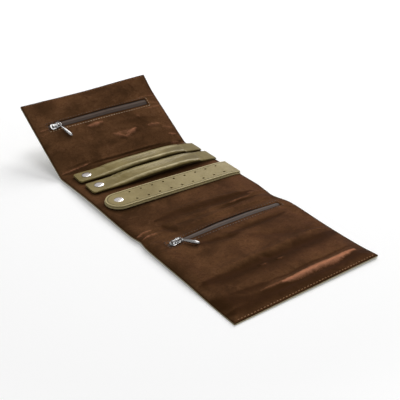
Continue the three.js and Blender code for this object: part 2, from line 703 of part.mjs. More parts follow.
const folder = new THREE.Group();
folder.name = "jewelry_folder";
const snaps = [
  ["ring_bar_1", ringBar1Y],
  ["ring_bar_2", ringBar2Y],
  ["earring_strap", earringStrapY],
];
buildMiddle(folder, snaps.map(([, y]) => snapPlace(y)));
snaps.forEach(([name, y]) => buildPanelSnap(folder, name, ...snapPlace(y)));
buildRingBar(folder, "ring_bar_1", ringBar1Y);
buildRingBar(folder, "ring_bar_2", ringBar2Y);
buildEarringStrap(folder);
buildSide(folder, "near", -1, NEAR_SPINE, NEAR_FLAP, 0, {
  distance: NEAR_ZIP_DISTANCE,
  left: NEAR_ZIP_LEFT,
  right: NEAR_ZIP_RIGHT,
  pullAngle: NEAR_PULL_ANGLE,
});
buildSide(folder, "far", 1, FAR_SPINE, FAR_FLAP, FAR_TILT, {
  distance: FAR_ZIP_DISTANCE,
  left: FAR_ZIP_LEFT,
  right: FAR_ZIP_RIGHT,
  pullAngle: FAR_PULL_ANGLE,
});

export default folder;
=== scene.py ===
import json
import math
from contextlib import contextmanager

import bmesh
import bpy
import numpy as np
from mathutils import Matrix, Vector, noise


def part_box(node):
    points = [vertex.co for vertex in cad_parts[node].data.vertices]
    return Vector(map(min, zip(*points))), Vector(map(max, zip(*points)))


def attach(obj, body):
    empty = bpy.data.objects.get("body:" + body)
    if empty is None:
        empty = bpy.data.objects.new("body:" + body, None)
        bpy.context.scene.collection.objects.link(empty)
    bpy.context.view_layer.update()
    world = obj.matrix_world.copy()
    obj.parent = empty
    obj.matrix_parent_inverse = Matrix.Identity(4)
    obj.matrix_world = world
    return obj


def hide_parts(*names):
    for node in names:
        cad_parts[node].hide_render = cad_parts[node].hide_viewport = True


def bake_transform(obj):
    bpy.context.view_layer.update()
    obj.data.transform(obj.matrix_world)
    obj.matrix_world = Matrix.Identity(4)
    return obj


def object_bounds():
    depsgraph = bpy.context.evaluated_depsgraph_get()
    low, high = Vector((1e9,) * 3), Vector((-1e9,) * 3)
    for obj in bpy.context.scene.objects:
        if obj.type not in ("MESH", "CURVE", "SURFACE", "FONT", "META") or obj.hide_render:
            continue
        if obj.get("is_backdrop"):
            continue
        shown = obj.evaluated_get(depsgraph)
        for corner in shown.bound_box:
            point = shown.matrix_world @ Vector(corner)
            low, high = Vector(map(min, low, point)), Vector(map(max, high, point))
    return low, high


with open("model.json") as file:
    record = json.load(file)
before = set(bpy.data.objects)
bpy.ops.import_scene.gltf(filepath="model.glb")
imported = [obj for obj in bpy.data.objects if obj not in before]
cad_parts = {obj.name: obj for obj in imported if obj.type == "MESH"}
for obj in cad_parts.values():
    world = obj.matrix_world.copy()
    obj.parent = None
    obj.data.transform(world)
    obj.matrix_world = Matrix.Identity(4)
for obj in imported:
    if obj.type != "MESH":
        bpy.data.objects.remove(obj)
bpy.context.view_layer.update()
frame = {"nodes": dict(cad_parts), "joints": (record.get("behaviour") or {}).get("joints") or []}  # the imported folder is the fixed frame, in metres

mm = 0.001
bpy.ops.object.select_all(action="DESELECT")

# The folder's own frame: x across, v along the unfolded folder, h up from the leather's underside, in mm
joints = {joint["name"]: joint for joint in frame["joints"]}


def jointPlace(name):
    return Vector(joints[name]["pos_m"]) / mm


def jointAxis(name):
    return Vector(joints[name]["axis"]).normalized()


farCrease = jointPlace("far_spine_fold")
farFold = jointPlace("far_flap_fold")
nearCrease = jointPlace("near_spine_fold")
nearFold = jointPlace("near_flap_fold")
tilt = math.atan2(farFold.z - farCrease.z, farFold.y - farCrease.y)
panelTop = farCrease.z
farFoldV = farCrease.y + (farFold - farCrease).length
bend = {"radius": 10}  # how softly the far side leaves the table
# lifted edges: height at the edge, side, start of the rise across, then its place and its runs along v
curls = [(3, 1, 72, -118, 15, 42), (2.3, -1, 60, -105, 45, 60), (3.8, -1, 70, 10, 95, 75),
         (1, -1, 60, -170, 30, 26), (4.6, 1, -20, 195, 400, 19), (1.4, 1, -120, -242, 16, 16)]


def smooth(t):
    t = np.clip(t, 0, 1)
    return t * t * (3 - 2 * t)


def ramp(value, start, run):
    return smooth((value - start) / run)


def bell(t):
    return np.exp(-t ** 2)


def edgeCurl(x, v):
    rise = 0
    for height, side, start, at, runUp, runDown in curls:
        across = smooth((side * x - start) / (halfWide - start))
        rise = rise + height * across * bell((v - at) / np.where(v > at, runUp, runDown))
    return rise


def place(x, v, h):
    # panel coordinates to the part's frame, round the bend at the far crease
    x, v, h = np.broadcast_arrays(*(np.asarray(a, float) for a in (x, v, h)))
    reach = bend["radius"] * math.tan(tilt / 2)
    past = v - farCrease.y
    turn = np.clip((past + reach) / (2 * reach), 0, 1) * tilt
    lift = h - panelTop + edgeCurl(x, v)
    arcY = bend["radius"] * np.sin(turn) - reach
    arcZ = bend["radius"] * (1 - np.cos(turn))
    y = np.where(past < -reach, past, np.where(past > reach, past * math.cos(tilt), arcY))
    z = np.where(past < -reach, 0, np.where(past > reach, past * math.sin(tilt), arcZ))
    y = farCrease.y + y - lift * np.sin(turn)
    z = panelTop + z + lift * np.cos(turn)
    return np.stack([x, y, z], -1) * mm


def toPanel(co):
    # a CAD point, in metres, back to panel coordinates
    x, y, z = (c / mm for c in co)
    if y + z - panelTop <= farCrease.y:
        return x, y, z
    along, up = y - farCrease.y, z - panelTop
    return (x, farCrease.y + along * math.cos(tilt) + up * math.sin(tilt),
            panelTop - along * math.sin(tilt) + up * math.cos(tilt))


def panelBox(node):
    co = np.array([toPanel(vertex.co) for vertex in frame["nodes"][node].data.vertices])
    return co.min(0), co.max(0)


def flatBox(node):
    # the box of a node that never leaves the table, in mm
    low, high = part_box(node)
    return low / mm, high / mm


halfWide = flatBox("middle_outer_leather")[1].x
nearEnd = flatBox("near_outer_leather")[0].y
farEnd = panelBox("far_outer_leather")[1][1]
corner = 2  # radius of the folder's corners
farSeam = (farCrease.y + farFoldV) / 2  # where two sheets meet, halfway over each spine
nearSeam = (nearCrease.y + nearFold.y) / 2
middleSeam = jointPlace("earring_strap_lift").y + 2.5  # under the earring strap
print("frame read, tilt", round(math.degrees(tilt), 2))


# Blender helpers
def alone(piece):
    bpy.ops.object.select_all(action="DESELECT")
    piece.select_set(True)
    bpy.context.view_layer.objects.active = piece


def newPiece(name):
    piece = bpy.context.active_object
    piece.name = name
    piece.data.name = name
    return piece


def applyModifiers(piece):
    alone(piece)
    for modifier in list(piece.modifiers):
        bpy.ops.object.modifier_apply(modifier=modifier.name)


def points(piece):
    co = np.zeros(len(piece.data.vertices) * 3)
    piece.data.vertices.foreach_get("co", co)
    return co.reshape(-1, 3)


def setPoints(piece, co):
    piece.data.vertices.foreach_set("co", np.asarray(co, np.float32).ravel())
    piece.data.update()


def modify(piece, kind, **settings):
    modifier = piece.modifiers.new(kind.lower(), kind)
    for key, value in settings.items():
        setattr(modifier, key, value)


@contextmanager
def editing(piece):
    # edit mode with all of the piece selected
    alone(piece)
    bpy.ops.object.mode_set(mode="EDIT")
    bpy.ops.mesh.select_all(action="SELECT")
    yield
    bpy.ops.object.mode_set(mode="OBJECT")


def finishPiece(piece, material, angle, nodes=(), body=None):
    piece.data.materials.clear()
    piece.data.materials.append(material)
    alone(piece)
    bpy.ops.object.shade_smooth_by_angle(angle=math.radians(angle))
    if nodes:
        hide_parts(*nodes)
    if body:
        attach(piece, body)


def tidyMesh(piece, distance=0.00001):
    with editing(piece):
        bpy.ops.mesh.remove_doubles(threshold=distance)
        bpy.ops.mesh.normals_make_consistent(inside=False)


def joined(name, pieces):
    bpy.ops.object.select_all(action="DESELECT")
    for piece in pieces:
        piece.select_set(True)
    bpy.context.view_layer.objects.active = pieces[0]
    bpy.ops.object.join()
    return newPiece(name)


def repeated(name, model, places):
    # one modelled shape, copied to each (x, y, z, turn about z)
    co = points(model)
    faces = [list(face.vertices) for face in model.data.polygons]
    allPoints, allFaces = [], []
    for k, (x, y, z, turn) in enumerate(places):
        c, s = math.cos(turn), math.sin(turn)
        turned = co @ np.array([[c, s, 0], [-s, c, 0], [0, 0, 1]])
        allPoints.append(turned + (x, y, z))
        allFaces += [[index + k * len(co) for index in face] for face in faces]
    mesh = bpy.data.meshes.new(name)
    mesh.from_pydata(np.concatenate(allPoints).tolist(), [], allFaces)
    piece = bpy.data.objects.new(name, mesh)
    bpy.context.scene.collection.objects.link(piece)
    bpy.data.objects.remove(model)
    return piece


def turnedPiece(name, profile, sides=48):
    # a disc drawn up along z through (radius, height) steps, as on a lathe
    radius, height = profile[0]
    bpy.ops.mesh.primitive_circle_add(vertices=sides, radius=radius, fill_type="NGON",
                                      location=(0, 0, height))
    piece = newPiece(name)
    bpy.ops.object.transform_apply()
    with editing(piece):
        for nextRadius, nextHeight in profile[1:]:
            bpy.ops.mesh.extrude_region_move(TRANSFORM_OT_translate={"value": (0, 0, nextHeight - height)})
            share = nextRadius / radius
            bpy.ops.transform.resize(value=(share, share, 1), center_override=(0, 0, nextHeight))
            radius, height = nextRadius, nextHeight
        bpy.ops.mesh.select_all(action="SELECT")
        bpy.ops.mesh.normals_make_consistent(inside=False)
    return piece


# Materials
class Field:
    # a socket that takes part in sums
    def __init__(self, recipe, socket):
        self.recipe = recipe
        self.socket = socket

    def sum(self, operation, first, second):
        return self.recipe.node("Math", {"operation": operation}, {0: first, 1: second})

    def __add__(self, other):
        return self.sum("ADD", self, other)

    def __radd__(self, other):
        return self.sum("ADD", other, self)

    def __sub__(self, other):
        return self.sum("SUBTRACT", self, other)

    def __rsub__(self, other):
        return self.sum("SUBTRACT", other, self)

    def __mul__(self, other):
        return self.sum("MULTIPLY", self, other)

    def __rmul__(self, other):
        return self.sum("MULTIPLY", other, self)


class Recipe:
    # a material, or the world, and its nodes
    def __init__(self, name, kind="materials", shader="Principled BSDF", **fixed):
        self.block = getattr(bpy.data, kind).new(name)
        self.block.use_nodes = True
        self.tree = self.block.node_tree
        self.shader = self.tree.nodes[shader]
        for socket, value in fixed.items():
            self.shader.inputs[socket.replace("_", " ")].default_value = value

    def node(self, kind, settings=(), sockets=(), output=0):
        made = self.tree.nodes.new("ShaderNode" + kind)
        for key, value in dict(settings).items():
            setattr(made, key, value)
        for key, value in dict(sockets).items():
            if isinstance(value, Field):
                self.tree.links.new(value.socket, made.inputs[key])
            else:
                made.inputs[key].default_value = value
        return Field(self, made.outputs[output])

    def where(self):
        return self.node("TexCoord", output=3)

    def cloth(self):
        return self.node("UVMap", {"uv_map": "cloth"})

    def share(self, name):
        return self.node("Attribute", {"attribute_name": name}, output=2)

    def waves(self, where, direction, scale, distortion=0):
        sockets = {"Vector": where, "Scale": scale, "Distortion": distortion}
        return self.node("TexWave", {"bands_direction": direction}, sockets, 1)

    def cells(self, where, scale, smoothness):
        sockets = {"Vector": where, "Scale": scale, "Smoothness": smoothness}
        return self.node("TexVoronoi", {"feature": "SMOOTH_F1"}, sockets)

    def seen(self):
        # 1 for camera and glossy rays
        return self.node("LightPath") + self.node("LightPath", output=3)

    def mix(self, share, first, second):
        return self.node("Mix", {"data_type": "RGBA"}, {0: share, 6: first, 7: second}, 2)

    def between(self, value, low, high):
        settings = {"interpolation_type": "SMOOTHSTEP"}
        return self.node("MapRange", settings, {"Value": value, "From Min": low, "From Max": high})

    def cloud(self, where, scale, detail=4, rough=0.55, distortion=0):
        return self.node("TexNoise", {}, {"Vector": where, "Scale": scale, "Detail": detail,
                                          "Roughness": rough, "Distortion": distortion})

    def feed(self, socket, field):
        self.tree.links.new(field.socket, self.shader.inputs[socket])

    def finish(self, color, roughness, height=None, distance=0, strength=1):
        self.feed("Base Color", color)
        self.feed("Roughness", roughness)
        if height:
            sockets = {"Height": height, "Distance": distance, "Strength": strength}
            self.feed("Normal", self.node("Bump", {}, sockets))
        return self.block


def paint(red, green, blue):
    # a colour as it is picked on screen, made linear
    linear = [c / 255 / 12.92 if c <= 10 else ((c / 255 + 0.055) / 1.055) ** 2.4 for c in (red, green, blue)]
    return (*linear, 1)


def brownSatin():
    # smooth dark lining: blotchy brown, with painted copper highlights on its folds and painted shade in its
    # hollows, under the straps and along the zip lips
    r = Recipe("brownSatin", IOR=1.05, Metallic=0.16, Specular_Tint=paint(170, 100, 62))
    cloth = r.cloth()
    blotch = r.between(r.cloud(cloth, 22, 6, 0.62, 0.6), 0.34, 0.68)
    streak = r.cloud(cloth, 95, 4, 0.6, 1.2)
    fine = r.cloud(cloth, 900, 2)
    crumple = r.cloud(cloth, 260, 3, 0.6, 1.5)
    crinkle = r.cloud(cloth, 130, 5, 0.7, 2.2)
    grain = r.cloud(cloth, 460, 3, 0.65)
    # painted highlight: copper where the folds would catch the light
    paintedHighlightMask = r.between(r.share("paintedHighlight") + (streak - 0.5) * 0.55 + (crumple - 0.5) * 0.45, 0.15, 1)
    ground = r.mix(blotch, paint(62, 42, 25), paint(91, 63, 41))
    ground = r.mix(r.between(streak, 0.5, 0.75) * 0.35, ground, paint(108, 76, 54))
    ground = r.mix(r.between(crinkle, 0.48, 0.7) * 0.5, ground, paint(54, 35, 21))
    ground = r.mix(r.between(grain, 0.46, 0.7) * 0.4, ground, paint(54, 36, 21))
    # painted shade: darker in the hollows, under the straps, at the zip lips and along the hems
    ground = r.mix(r.between(r.share("paintedShade") + (streak - 0.5) * 0.6, 0, 0.95), ground, paint(50, 32, 16))
    copper = r.mix(crumple, paint(130, 86, 63), paint(176, 122, 94))
    height = streak * 0.7 - crinkle * 0.35 + grain * 0.15 + crumple * paintedHighlightMask * 0.4 + fine * 0.06
    rough = 0.47 - paintedHighlightMask * 0.1 + (streak - 0.5) * 0.2
    return r.finish(r.mix(paintedHighlightMask * 0.85, ground, copper), rough, height, 0.0008, 0.6)


def oliveLeather():
    # grained outside leather, paler along its cut edges: partly the cut edge's own colour, partly a painted
    # highlight
    r = Recipe("oliveLeather", Specular_IOR_Level=0.45)
    where = r.where()
    pebble = r.cells(where, 850, 0.6)
    blotch = r.cloud(where, 30, 5, 0.6)
    color = r.mix(blotch, paint(104, 96, 66), paint(134, 124, 88))
    color = r.mix(r.between(pebble, 0.35, 0.7) * 0.3, color, paint(82, 74, 50))
    return r.finish(r.mix(r.share("rim") * (0.55 + blotch * 0.5), color, paint(196, 184, 150)),
                    0.5 + (blotch - 0.5) * 0.2,
                    1 - pebble, 0.0003, 0.7)


def khakiLeather(name, gloss, rough, dark, light, edged):
    # soft khaki strap leather with a fine grain
    r = Recipe(name, Specular_IOR_Level=gloss, Specular_Tint=paint(255, 240, 200))
    where = r.where()
    blotch = r.cloud(where, 45, 5, 0.6, 0.4)
    mottle = r.cloud(where, 420, 3, 0.6)
    pore = r.cells(where, 1300, 0.5)
    color = r.mix(r.between(blotch, 0.3, 0.7), dark, light)
    color = r.mix(r.between(mottle, 0.55, 0.75) * 0.35, color, paint(104, 90, 52))
    dull = rough + (mottle - 0.5) * 0.2
    if edged:
        # a pressed line along the edge, and a paler rim outside it
        edge = r.share("edge")
        pressed = r.between(edge, 1.6, 2.1) * r.between(edge, 3.1, 2.6)
        color = r.mix(r.between(edge, 1.7, 1) * 0.85, color, paint(184, 170, 126))
        color = r.mix(pressed * 0.75, color, paint(84, 72, 40))
    else:
        # painted highlight along the crest, painted shade down the near side
        paintedBarLight = r.share("paintedBarLight")
        color = r.mix(r.between(paintedBarLight + (mottle - 0.5) * 0.5, 0.1, 1), color, paint(190, 177, 138))
        color = r.mix(r.between(paintedBarLight + (mottle - 0.5) * 0.3, -0.1, -1), color, paint(62, 51, 28))
        dull = dull + r.between(paintedBarLight, 0, -0.4) * 0.35
    return r.finish(color, dull, mottle * 0.6 - pore * 0.5, 0.00025, 0.6)


def wovenTape():
    # ribbed zip tape
    r = Recipe("wovenTape", Specular_IOR_Level=0.3, Sheen_Weight=0.15)
    cloth = r.cloth()
    rib = r.waves(cloth, "X", 330, 0.3)
    line = r.waves(cloth, "Y", 160, 0.4)
    blotch = r.cloud(cloth, 60, 4)
    color = r.mix(blotch, paint(73, 56, 46), paint(96, 77, 64))
    # painted shade: darker along the lips and over the lower tape
    color = r.mix(r.share("shade"), color, paint(36, 27, 21))
    return r.finish(r.mix(rib * 0.3 + line * 0.2, color, paint(50, 39, 32)),
                    0.72 + rib * 0.15,
                    rib * 0.6 + line * 0.4, 0.00012, 0.7)


def nylonCoil():
    r = Recipe("nylonCoil", Specular_IOR_Level=0.5)
    tone = r.cloud(r.where(), 260, 3)
    return r.finish(r.mix(tone, paint(48, 40, 36), paint(74, 64, 58)), 0.36 + tone * 0.15)


def polishedNickel(name, dark, light):
    # bright plated metal with faint handling marks
    r = Recipe(name, Metallic=1)
    where = r.where()
    haze = r.cloud(where, 140, 4, 0.65)
    marks = r.cloud(where, 1500, 2, 0.7, 2)
    return r.finish(r.mix(haze, dark, light),
                    0.2 + haze * 0.1 + r.between(marks, 0.6, 0.8) * 0.08,
                    marks, 0.00002, 0.3)


def twistedThread(name, dark, light):
    r = Recipe(name, Specular_IOR_Level=0.4, Sheen_Weight=0.2)
    where = r.where()
    twist = r.waves(where, "DIAGONAL", 900)
    tone = r.cloud(where, 120, 3)
    return r.finish(r.mix(twist * 0.5 + tone * 0.5, dark, light), 0.55 + tone * 0.2, twist, 0.0001, 0.6)


def softWadding():
    r = Recipe("softWadding", Specular_IOR_Level=0.2, Sheen_Weight=0.3)
    fluff = r.cloud(r.where(), 240, 6, 0.7)
    return r.finish(r.mix(fluff, paint(160, 148, 124), paint(205, 196, 176)),
                    0.85 + fluff * 0.1,
                    fluff, 0.0006, 0.7)


def pocketCloth():
    # thin plain-woven cloth inside the pockets
    r = Recipe("pocketCloth", Specular_IOR_Level=0.3, Sheen_Weight=0.15)
    cloth = r.cloth()
    warp = r.waves(cloth, "X", 400)
    weft = r.waves(cloth, "Y", 400)
    tone = r.cloud(cloth, 40, 4)
    return r.finish(r.mix(tone * 0.6 + warp * weft * 0.4, paint(40, 27, 18), paint(66, 45, 32)),
                    0.7 + tone * 0.15,
                    warp * 0.5 + weft * 0.5, 0.0001, 0.5)


satin = brownSatin()
olive = oliveLeather()
khaki = khakiLeather("khakiLeather", 0.22, 0.5, paint(128, 113, 72), paint(148, 133, 90), True)
barKhaki = khakiLeather("barKhakiLeather", 0.24, 0.33, paint(112, 98, 57), paint(136, 121, 76), False)
tape = wovenTape()
coil = nylonCoil()
nickel = polishedNickel("polishedNickel", paint(202, 196, 194), paint(230, 224, 222))
zipNickel = polishedNickel("zipNickel", paint(138, 137, 136), paint(172, 171, 170))
tanThread = twistedThread("tanThread", paint(118, 77, 40), paint(168, 118, 70))
paleThread = twistedThread("paleThread", paint(150, 122, 92), paint(206, 180, 146))
brownThread = twistedThread("brownThread", paint(56, 38, 26), paint(84, 60, 43))
khakiThread = twistedThread("khakiThread", paint(78, 66, 38), paint(112, 98, 60))
wadding = softWadding()
pocketBrown = pocketCloth()
print("materials made")

# Zip places, from the CAD rows
zipLook = {"coilOverrun": 1.5, "window": 10.4, "lipDrop": 0.55, "lipRun": 2.2, "lipShadowWidth": 0.8, "calmRun": 7,
           "drawRun": 4, "drawEnd": 3,
           # the fold behind a lip: height, place, half width
           "lipFold": (0.3, 1.3, 0.7),
           # along the window: place, half opening between the lips, and how far the zip bows off its line
           "near": ((0, 0.12, 0.45, 0.75, 0.92, 1), (2.6, 2.8, 4, 3.9, 3.3, 2.8),
                    (0, 0.6, 3.2, 2.4, 0.2, 0)),
           "far": ((0, 0.1, 0.6, 0.9, 1), (3, 3.4, 4, 4.3, 4), (0.6, 1.4, 2.4, 1.4, 1.2))}


def zipPlace(side):
    upperLow, upperHigh = panelBox(side + "_zip_upper_coil")
    lowerHigh = panelBox(side + "_zip_lower_coil")[1]
    half = zipLook["window"] / 2
    middle = (upperLow[1] + lowerHigh[1]) / 2
    return {"left": upperLow[0] + zipLook["coilOverrun"], "right": upperHigh[0] - zipLook["coilOverrun"],
            "middle": middle, "low": middle - half, "high": middle + half, "lens": zipLook[side]}


zips = {side: zipPlace(side) for side in ("near", "far")}

# The lining's surface
lining = {
    "thick": 0.4, "inset": 0.35, "edgeHeight": 1.45, "edgeRun": 15, "rightRun": 18, "grid": 1.1,
    "edgePower": 1.9, "foldEnd": 0.28, "hemDark": 0.8, "hemRun": 2,
    # calmer under the straps
    "calmShare": 0.8, "calmNear": 22, "calmFar": 2, "calmRun": 6,
    # the strap ends keep the right edge up: share, then start and run of both ends along v
    "held": (0.5, (-75, 15), (-85, 20)),
    # soft noise: height, scale, seed
    "ripples": [(0.35, 0.028, 3.1), (0.14, 0.09, 8.4)],
    "wander": [(1.5, 0.04, 17.3), (0.7, 0.13, 5.2)],
    # along v: crease, depth, half width
    "creases": [(farCrease.y, 1.5, 2.4), (farFoldV, 0.1, 3), (nearCrease.y, 1.3, 3), (nearFold.y, 1.5, 3.2)],
    # ridges and furrows: from x, v to x, v, then height and half width
    "folds": [
        (-42, -57.5, 26, -57, 0.9, 3), (18, -59, 70, -68, 0.8, 2.6), (-40, -66, 70, -73, -1.3, 4.2),
        (10, -77, 68, -78, 0.9, 1.7), (12, -81.5, 72, -81.5, -0.9, 1.6), (-34, -88, 56, -87, 0.5, 2.2),
        (-34, -93, 64, -93, -0.4, 2), (-85, -79.5, -60, -75, 1, 1.3), (-85, -83, -58, -79, -0.8, 1.2),
        (-85, -87, -59, -83, 1, 1.3), (-85, -91, -58, -87, -0.7, 1.2), (-50, -74, -43, -94, -1.3, 5),
        (-84, -105.5, -66, -105, -0.4, 1.1), (-84, -115, -66, -114.5, -0.4, 1.1),
        (-44, -118, 74, -118.5, 0.6, 2.4), (-38, -124, 2, -134, -1.2, 4), (-4, -126, 70, -128, -1.1, 3.2),
        (-36, -141, 26, -139, 0.5, 5), (6, -139, 56, -167, -0.8, 6), (-72, -172, 82, -172.5, 1.2, 4.5),
        (-76, -184, 86, -185, -1.5, 6), (-8, -174, 3, -183, -0.7, 3), (-18, -188, -6, -188.5, 0.9, 1.8),
        (1, -189, 14, -191, 0.9, 1.8), (-66, -203, 66, -204, 0.6, 6), (-46, -220, 76, -221.5, 1.5, 3.4),
        (-34, -213.5, 80, -213.5, -0.7, 2), (-56, -227, 84, -227.5, -0.6, 3), (56, -169, 84, -176, 0.9, 2),
        (54, -165, 84, -170, -0.7, 2.4), (-80, -232, -30, -222, -0.5, 6), (-84, 83.5, -40, 88.5, 0.8, 1.2),
        (-82, 86.5, -38, 91, -0.6, 1.2), (-48, 89, 64, 86.5, 0.6, 1.4), (-52, 86.5, 66, 84.5, -0.7, 1.2),
        (-78, 90.5, -28, 92.5, 0.4, 1.3), (-84, 147.5, -68, 147, 0.6, 1.4), (-84, 139, -68, 143, 0.6, 1.3),
        (-83, 155, -69, 151, 0.5, 1.4), (-84, 143, -69, 145, -0.4, 1.2), (56, 158, 84, 156.5, 0.6, 1.3),
        (60, 140, 84, 140, 0.6, 1.3), (68, 149, 84, 150, -0.5, 1.8), (70, 145, 84, 144, 0.4, 1.2),
        (-23, 137, 1, 138, 0.6, 2.4), (-16, 133, -3, 128, -0.5, 2.2), (2, 119, 17, 108, 0.7, 2.4),
        (16, 108.5, 36, 116.5, 0.7, 2.4), (6, 112, 16, 103, -0.5, 2.2), (20, 106, 38, 113, -0.5, 2.4),
        (52, 117, 67, 113.5, 0.6, 2.2), (50, 112, 66, 109, -0.4, 2), (41, 140, 49, 127, 0.5, 2.2),
        (66, 109, 80, 104, 0.5, 1.8), (68, 97, 80, 92, 0.6, 1.6), (64, 84, 78, 81, 0.5, 1.4),
        (-60, 120, -20, 112, 0.5, 5), (-70, 172, 40, 174, 0.35, 7), (-84, 125, -64, 131, 0.4, 2.2),
        (-84, 113, -66, 117, 0.4, 2),
    ],
    # painted light on the satin: from x, v to x, v, half width, then a painted copper highlight above 0 and
    # painted shade below
    "paintedStrokes": [
        (-40, -219.5, 24, -220.6, 3.2, 0.42), (-16, -220.6, 72, -220.4, 4.7, 1.05),
        (-22, 139, -1, 139, 4.4, 0.6), (3, 118.5, 17, 110, 4.2, 0.5), (15, 110, 34, 117, 4.2, 0.55),
        (6, 117, 32, 116.5, 5, 0.42), (20, 114.5, 34, 117.5, 3, 0.7), (51, 116.5, 67, 115, 4.4, 0.5),
        (43, 138, 48, 129, 3.4, 0.32), (67, 108.5, 79, 105, 3.4, 0.42), (69, 96.5, 79, 93.5, 3, 0.5),
        (65, 83.7, 77, 82, 2, 0.5), (-82, 84, -44, 88.5, 1.5, 0.6), (-83, 147.7, -68, 147.3, 1.7, 0.5),
        (-82, 139.5, -69, 142.7, 1.6, 0.4), (58, 158, 81, 157, 1.7, 0.45),
        (61, 140.2, 81, 140.2, 1.7, 0.42), (33, -77, 62, -77.6, 1.7, 0.5), (62, -71.6, 69, -74, 1.8, 0.5),
        (-83, -79, -63, -75.4, 1.8, 0.6), (-83, -86.4, -62, -83.2, 1.8, 0.55),
        (-16, -187.6, -8, -188.2, 2.2, 0.4), (4, -189, 11, -190.2, 2.2, 0.45),
        (60, -171.2, 81, -175.4, 1.7, 0.4), (-50, -63, 20, -62, 9, -0.7), (0, -62.5, 68, -71, 7.5, -0.8),
        (-49, -75, -43, -92, 8, -0.7), (14, -80.6, 70, -80.8, 2.6, -0.7), (-42, -125, 4, -131, 6, -0.75),
        (-6, -126.5, 66, -127, 5.4, -0.75), (10, -142, 54, -163, 11, -0.45),
        (-74, -182, 86, -183, 14, -0.95), (-36, -213, 80, -213, 2.4, -0.65),
        (-86, -227, 90, -227, 11, -0.95), (-88, -204, -54, -222, 15, -0.85),
        (-86, -216, -24, -226, 10, -0.85), (-64, -209, -26, -213, 7, -0.75), (-84, -20, -84, -160, 5, -0.5),
        (-54, 87.2, 64, 85.4, 1.5, -0.7), (-78, 110, -20, 106, 16, -0.22), (-44, 21, 72, 13.5, 5, -0.85),
        (-60, 50.5, 74, 43.5, 3.5, -0.75), (16, 131, 64, 125, 10, -0.4), (-74, 133, -26, 129, 10, -0.2),
        (36, 102, 80, 102, 10, -0.35),
    ],
}
pinch = {"share": 0.022, "at": -88, "run": 9}  # the edges draw in at the near spine


def ridge(x, v, x0, v0, x1, v1, height, wide):
    length = math.hypot(x1 - x0, v1 - v0)
    alongX, alongV = (x1 - x0) / length, (v1 - v0) / length
    along = ((x - x0) * alongX + (v - v0) * alongV) / length
    across = (v - v0) * alongX - (x - x0) * alongV
    return height * smooth(np.minimum(along, 1 - along) / lining["foldEnd"]) * bell(across / wide)


def edgeDrop(x, v):
    # how far the lining comes down towards the folder's edges
    fall = panelTop - lining["edgeHeight"]
    left = (x + halfWide - lining["inset"]) / lining["edgeRun"]
    right = (halfWide - lining["inset"] - x) / lining["rightRun"]
    near = (v - nearEnd - lining["inset"]) / lining["edgeRun"]
    far = (farEnd - lining["inset"] - v) / lining["edgeRun"]
    keep, nearSide, farSide = lining["held"]
    held = 1 - keep * ramp(v, *nearSide) * ramp(-v, *farSide)
    drop = 0
    for share, part in ((left, 1), (right, held), (near, 1), (far, 1)):
        drop = np.maximum(drop, fall * part * (1 - np.clip(share, 0, 1)) ** lining["edgePower"])
    return drop


def windowDistance(x, v, window):
    outX = np.maximum(np.maximum(window["left"] - x, x - window["right"]), 0)
    outV = np.maximum(np.maximum(window["low"] - v, v - window["high"]), 0)
    return np.hypot(outX, outV)


def windowShare(x, window):
    return (x - window["left"]) / (window["right"] - window["left"])


def zipBow(x, window):
    return np.interp(windowShare(x, window), window["lens"][0], window["lens"][2])


def lipHalf(x, window):
    # half the opening between a zip's lips
    return np.interp(windowShare(x, window), *window["lens"][:2])


def lipDistance(x, v, window):
    # how far outside the opening between a zip's lips
    ends = np.maximum(window["left"] - x, x - window["right"])
    return np.maximum(np.abs(v - window["middle"] - zipBow(x, window)) - lipHalf(x, window), ends)


def lipShift(x, v, window):
    # draws the lips of a zip's opening together, most at its ends
    share = windowShare(x, window)
    out = v - window["middle"]
    fromLip = np.abs(out) - zipLook["window"] / 2
    beyond = np.maximum(np.maximum(-share, share - 1), 0) * (window["right"] - window["left"])
    reach = np.exp(-np.maximum(fromLip, 0) / zipLook["drawRun"]) * np.exp(-beyond / zipLook["drawEnd"])
    reach = reach * (fromLip > -0.01)
    return (zipBow(x, window) - np.sign(out) * (zipLook["window"] / 2 - lipHalf(x, window))) * reach


def softNoise(x, v, scale, seed):
    return np.array([noise.noise(Vector((a * scale, b * scale, seed))) for a, b in zip(x, v)])


def ripple(x, v, parts):
    return sum(height * softNoise(x, v, scale, seed) for height, scale, seed in parts)


def liningHeight(x, v):
    x, v = np.atleast_1d(np.asarray(x, float)), np.atleast_1d(np.asarray(v, float))
    h = np.full(x.shape, panelTop)
    waves = sum(ridge(x, v, *fold) for fold in lining["folds"]) + ripple(x, v, lining["ripples"])
    # flat where the zips and the straps lie
    calm = np.ones(x.shape)
    for window in zips.values():
        calm *= ramp(windowDistance(x, v, window), 1, zipLook["calmRun"])
    past = ramp(v, middleSeam - lining["calmNear"], lining["calmRun"])
    before = ramp(-v, lining["calmFar"] - farCrease.y, lining["calmRun"])
    calm *= 1 - lining["calmShare"] * past * before
    h += waves * calm
    for middle, depth, wide in lining["creases"]:
        deeper = 0.85 + 0.3 * x / halfWide
        h -= depth * deeper * bell((v - middle) / wide)
    for window in zips.values():
        away = windowDistance(x, v, window)
        h -= zipLook["lipDrop"] * (1 - np.clip(away / zipLook["lipRun"], 0, 1)) ** 3
        height, at, wide = zipLook["lipFold"]
        h += height * bell((away - at) / wide)
    return np.maximum(h - edgeDrop(x, v), lining["edgeHeight"])


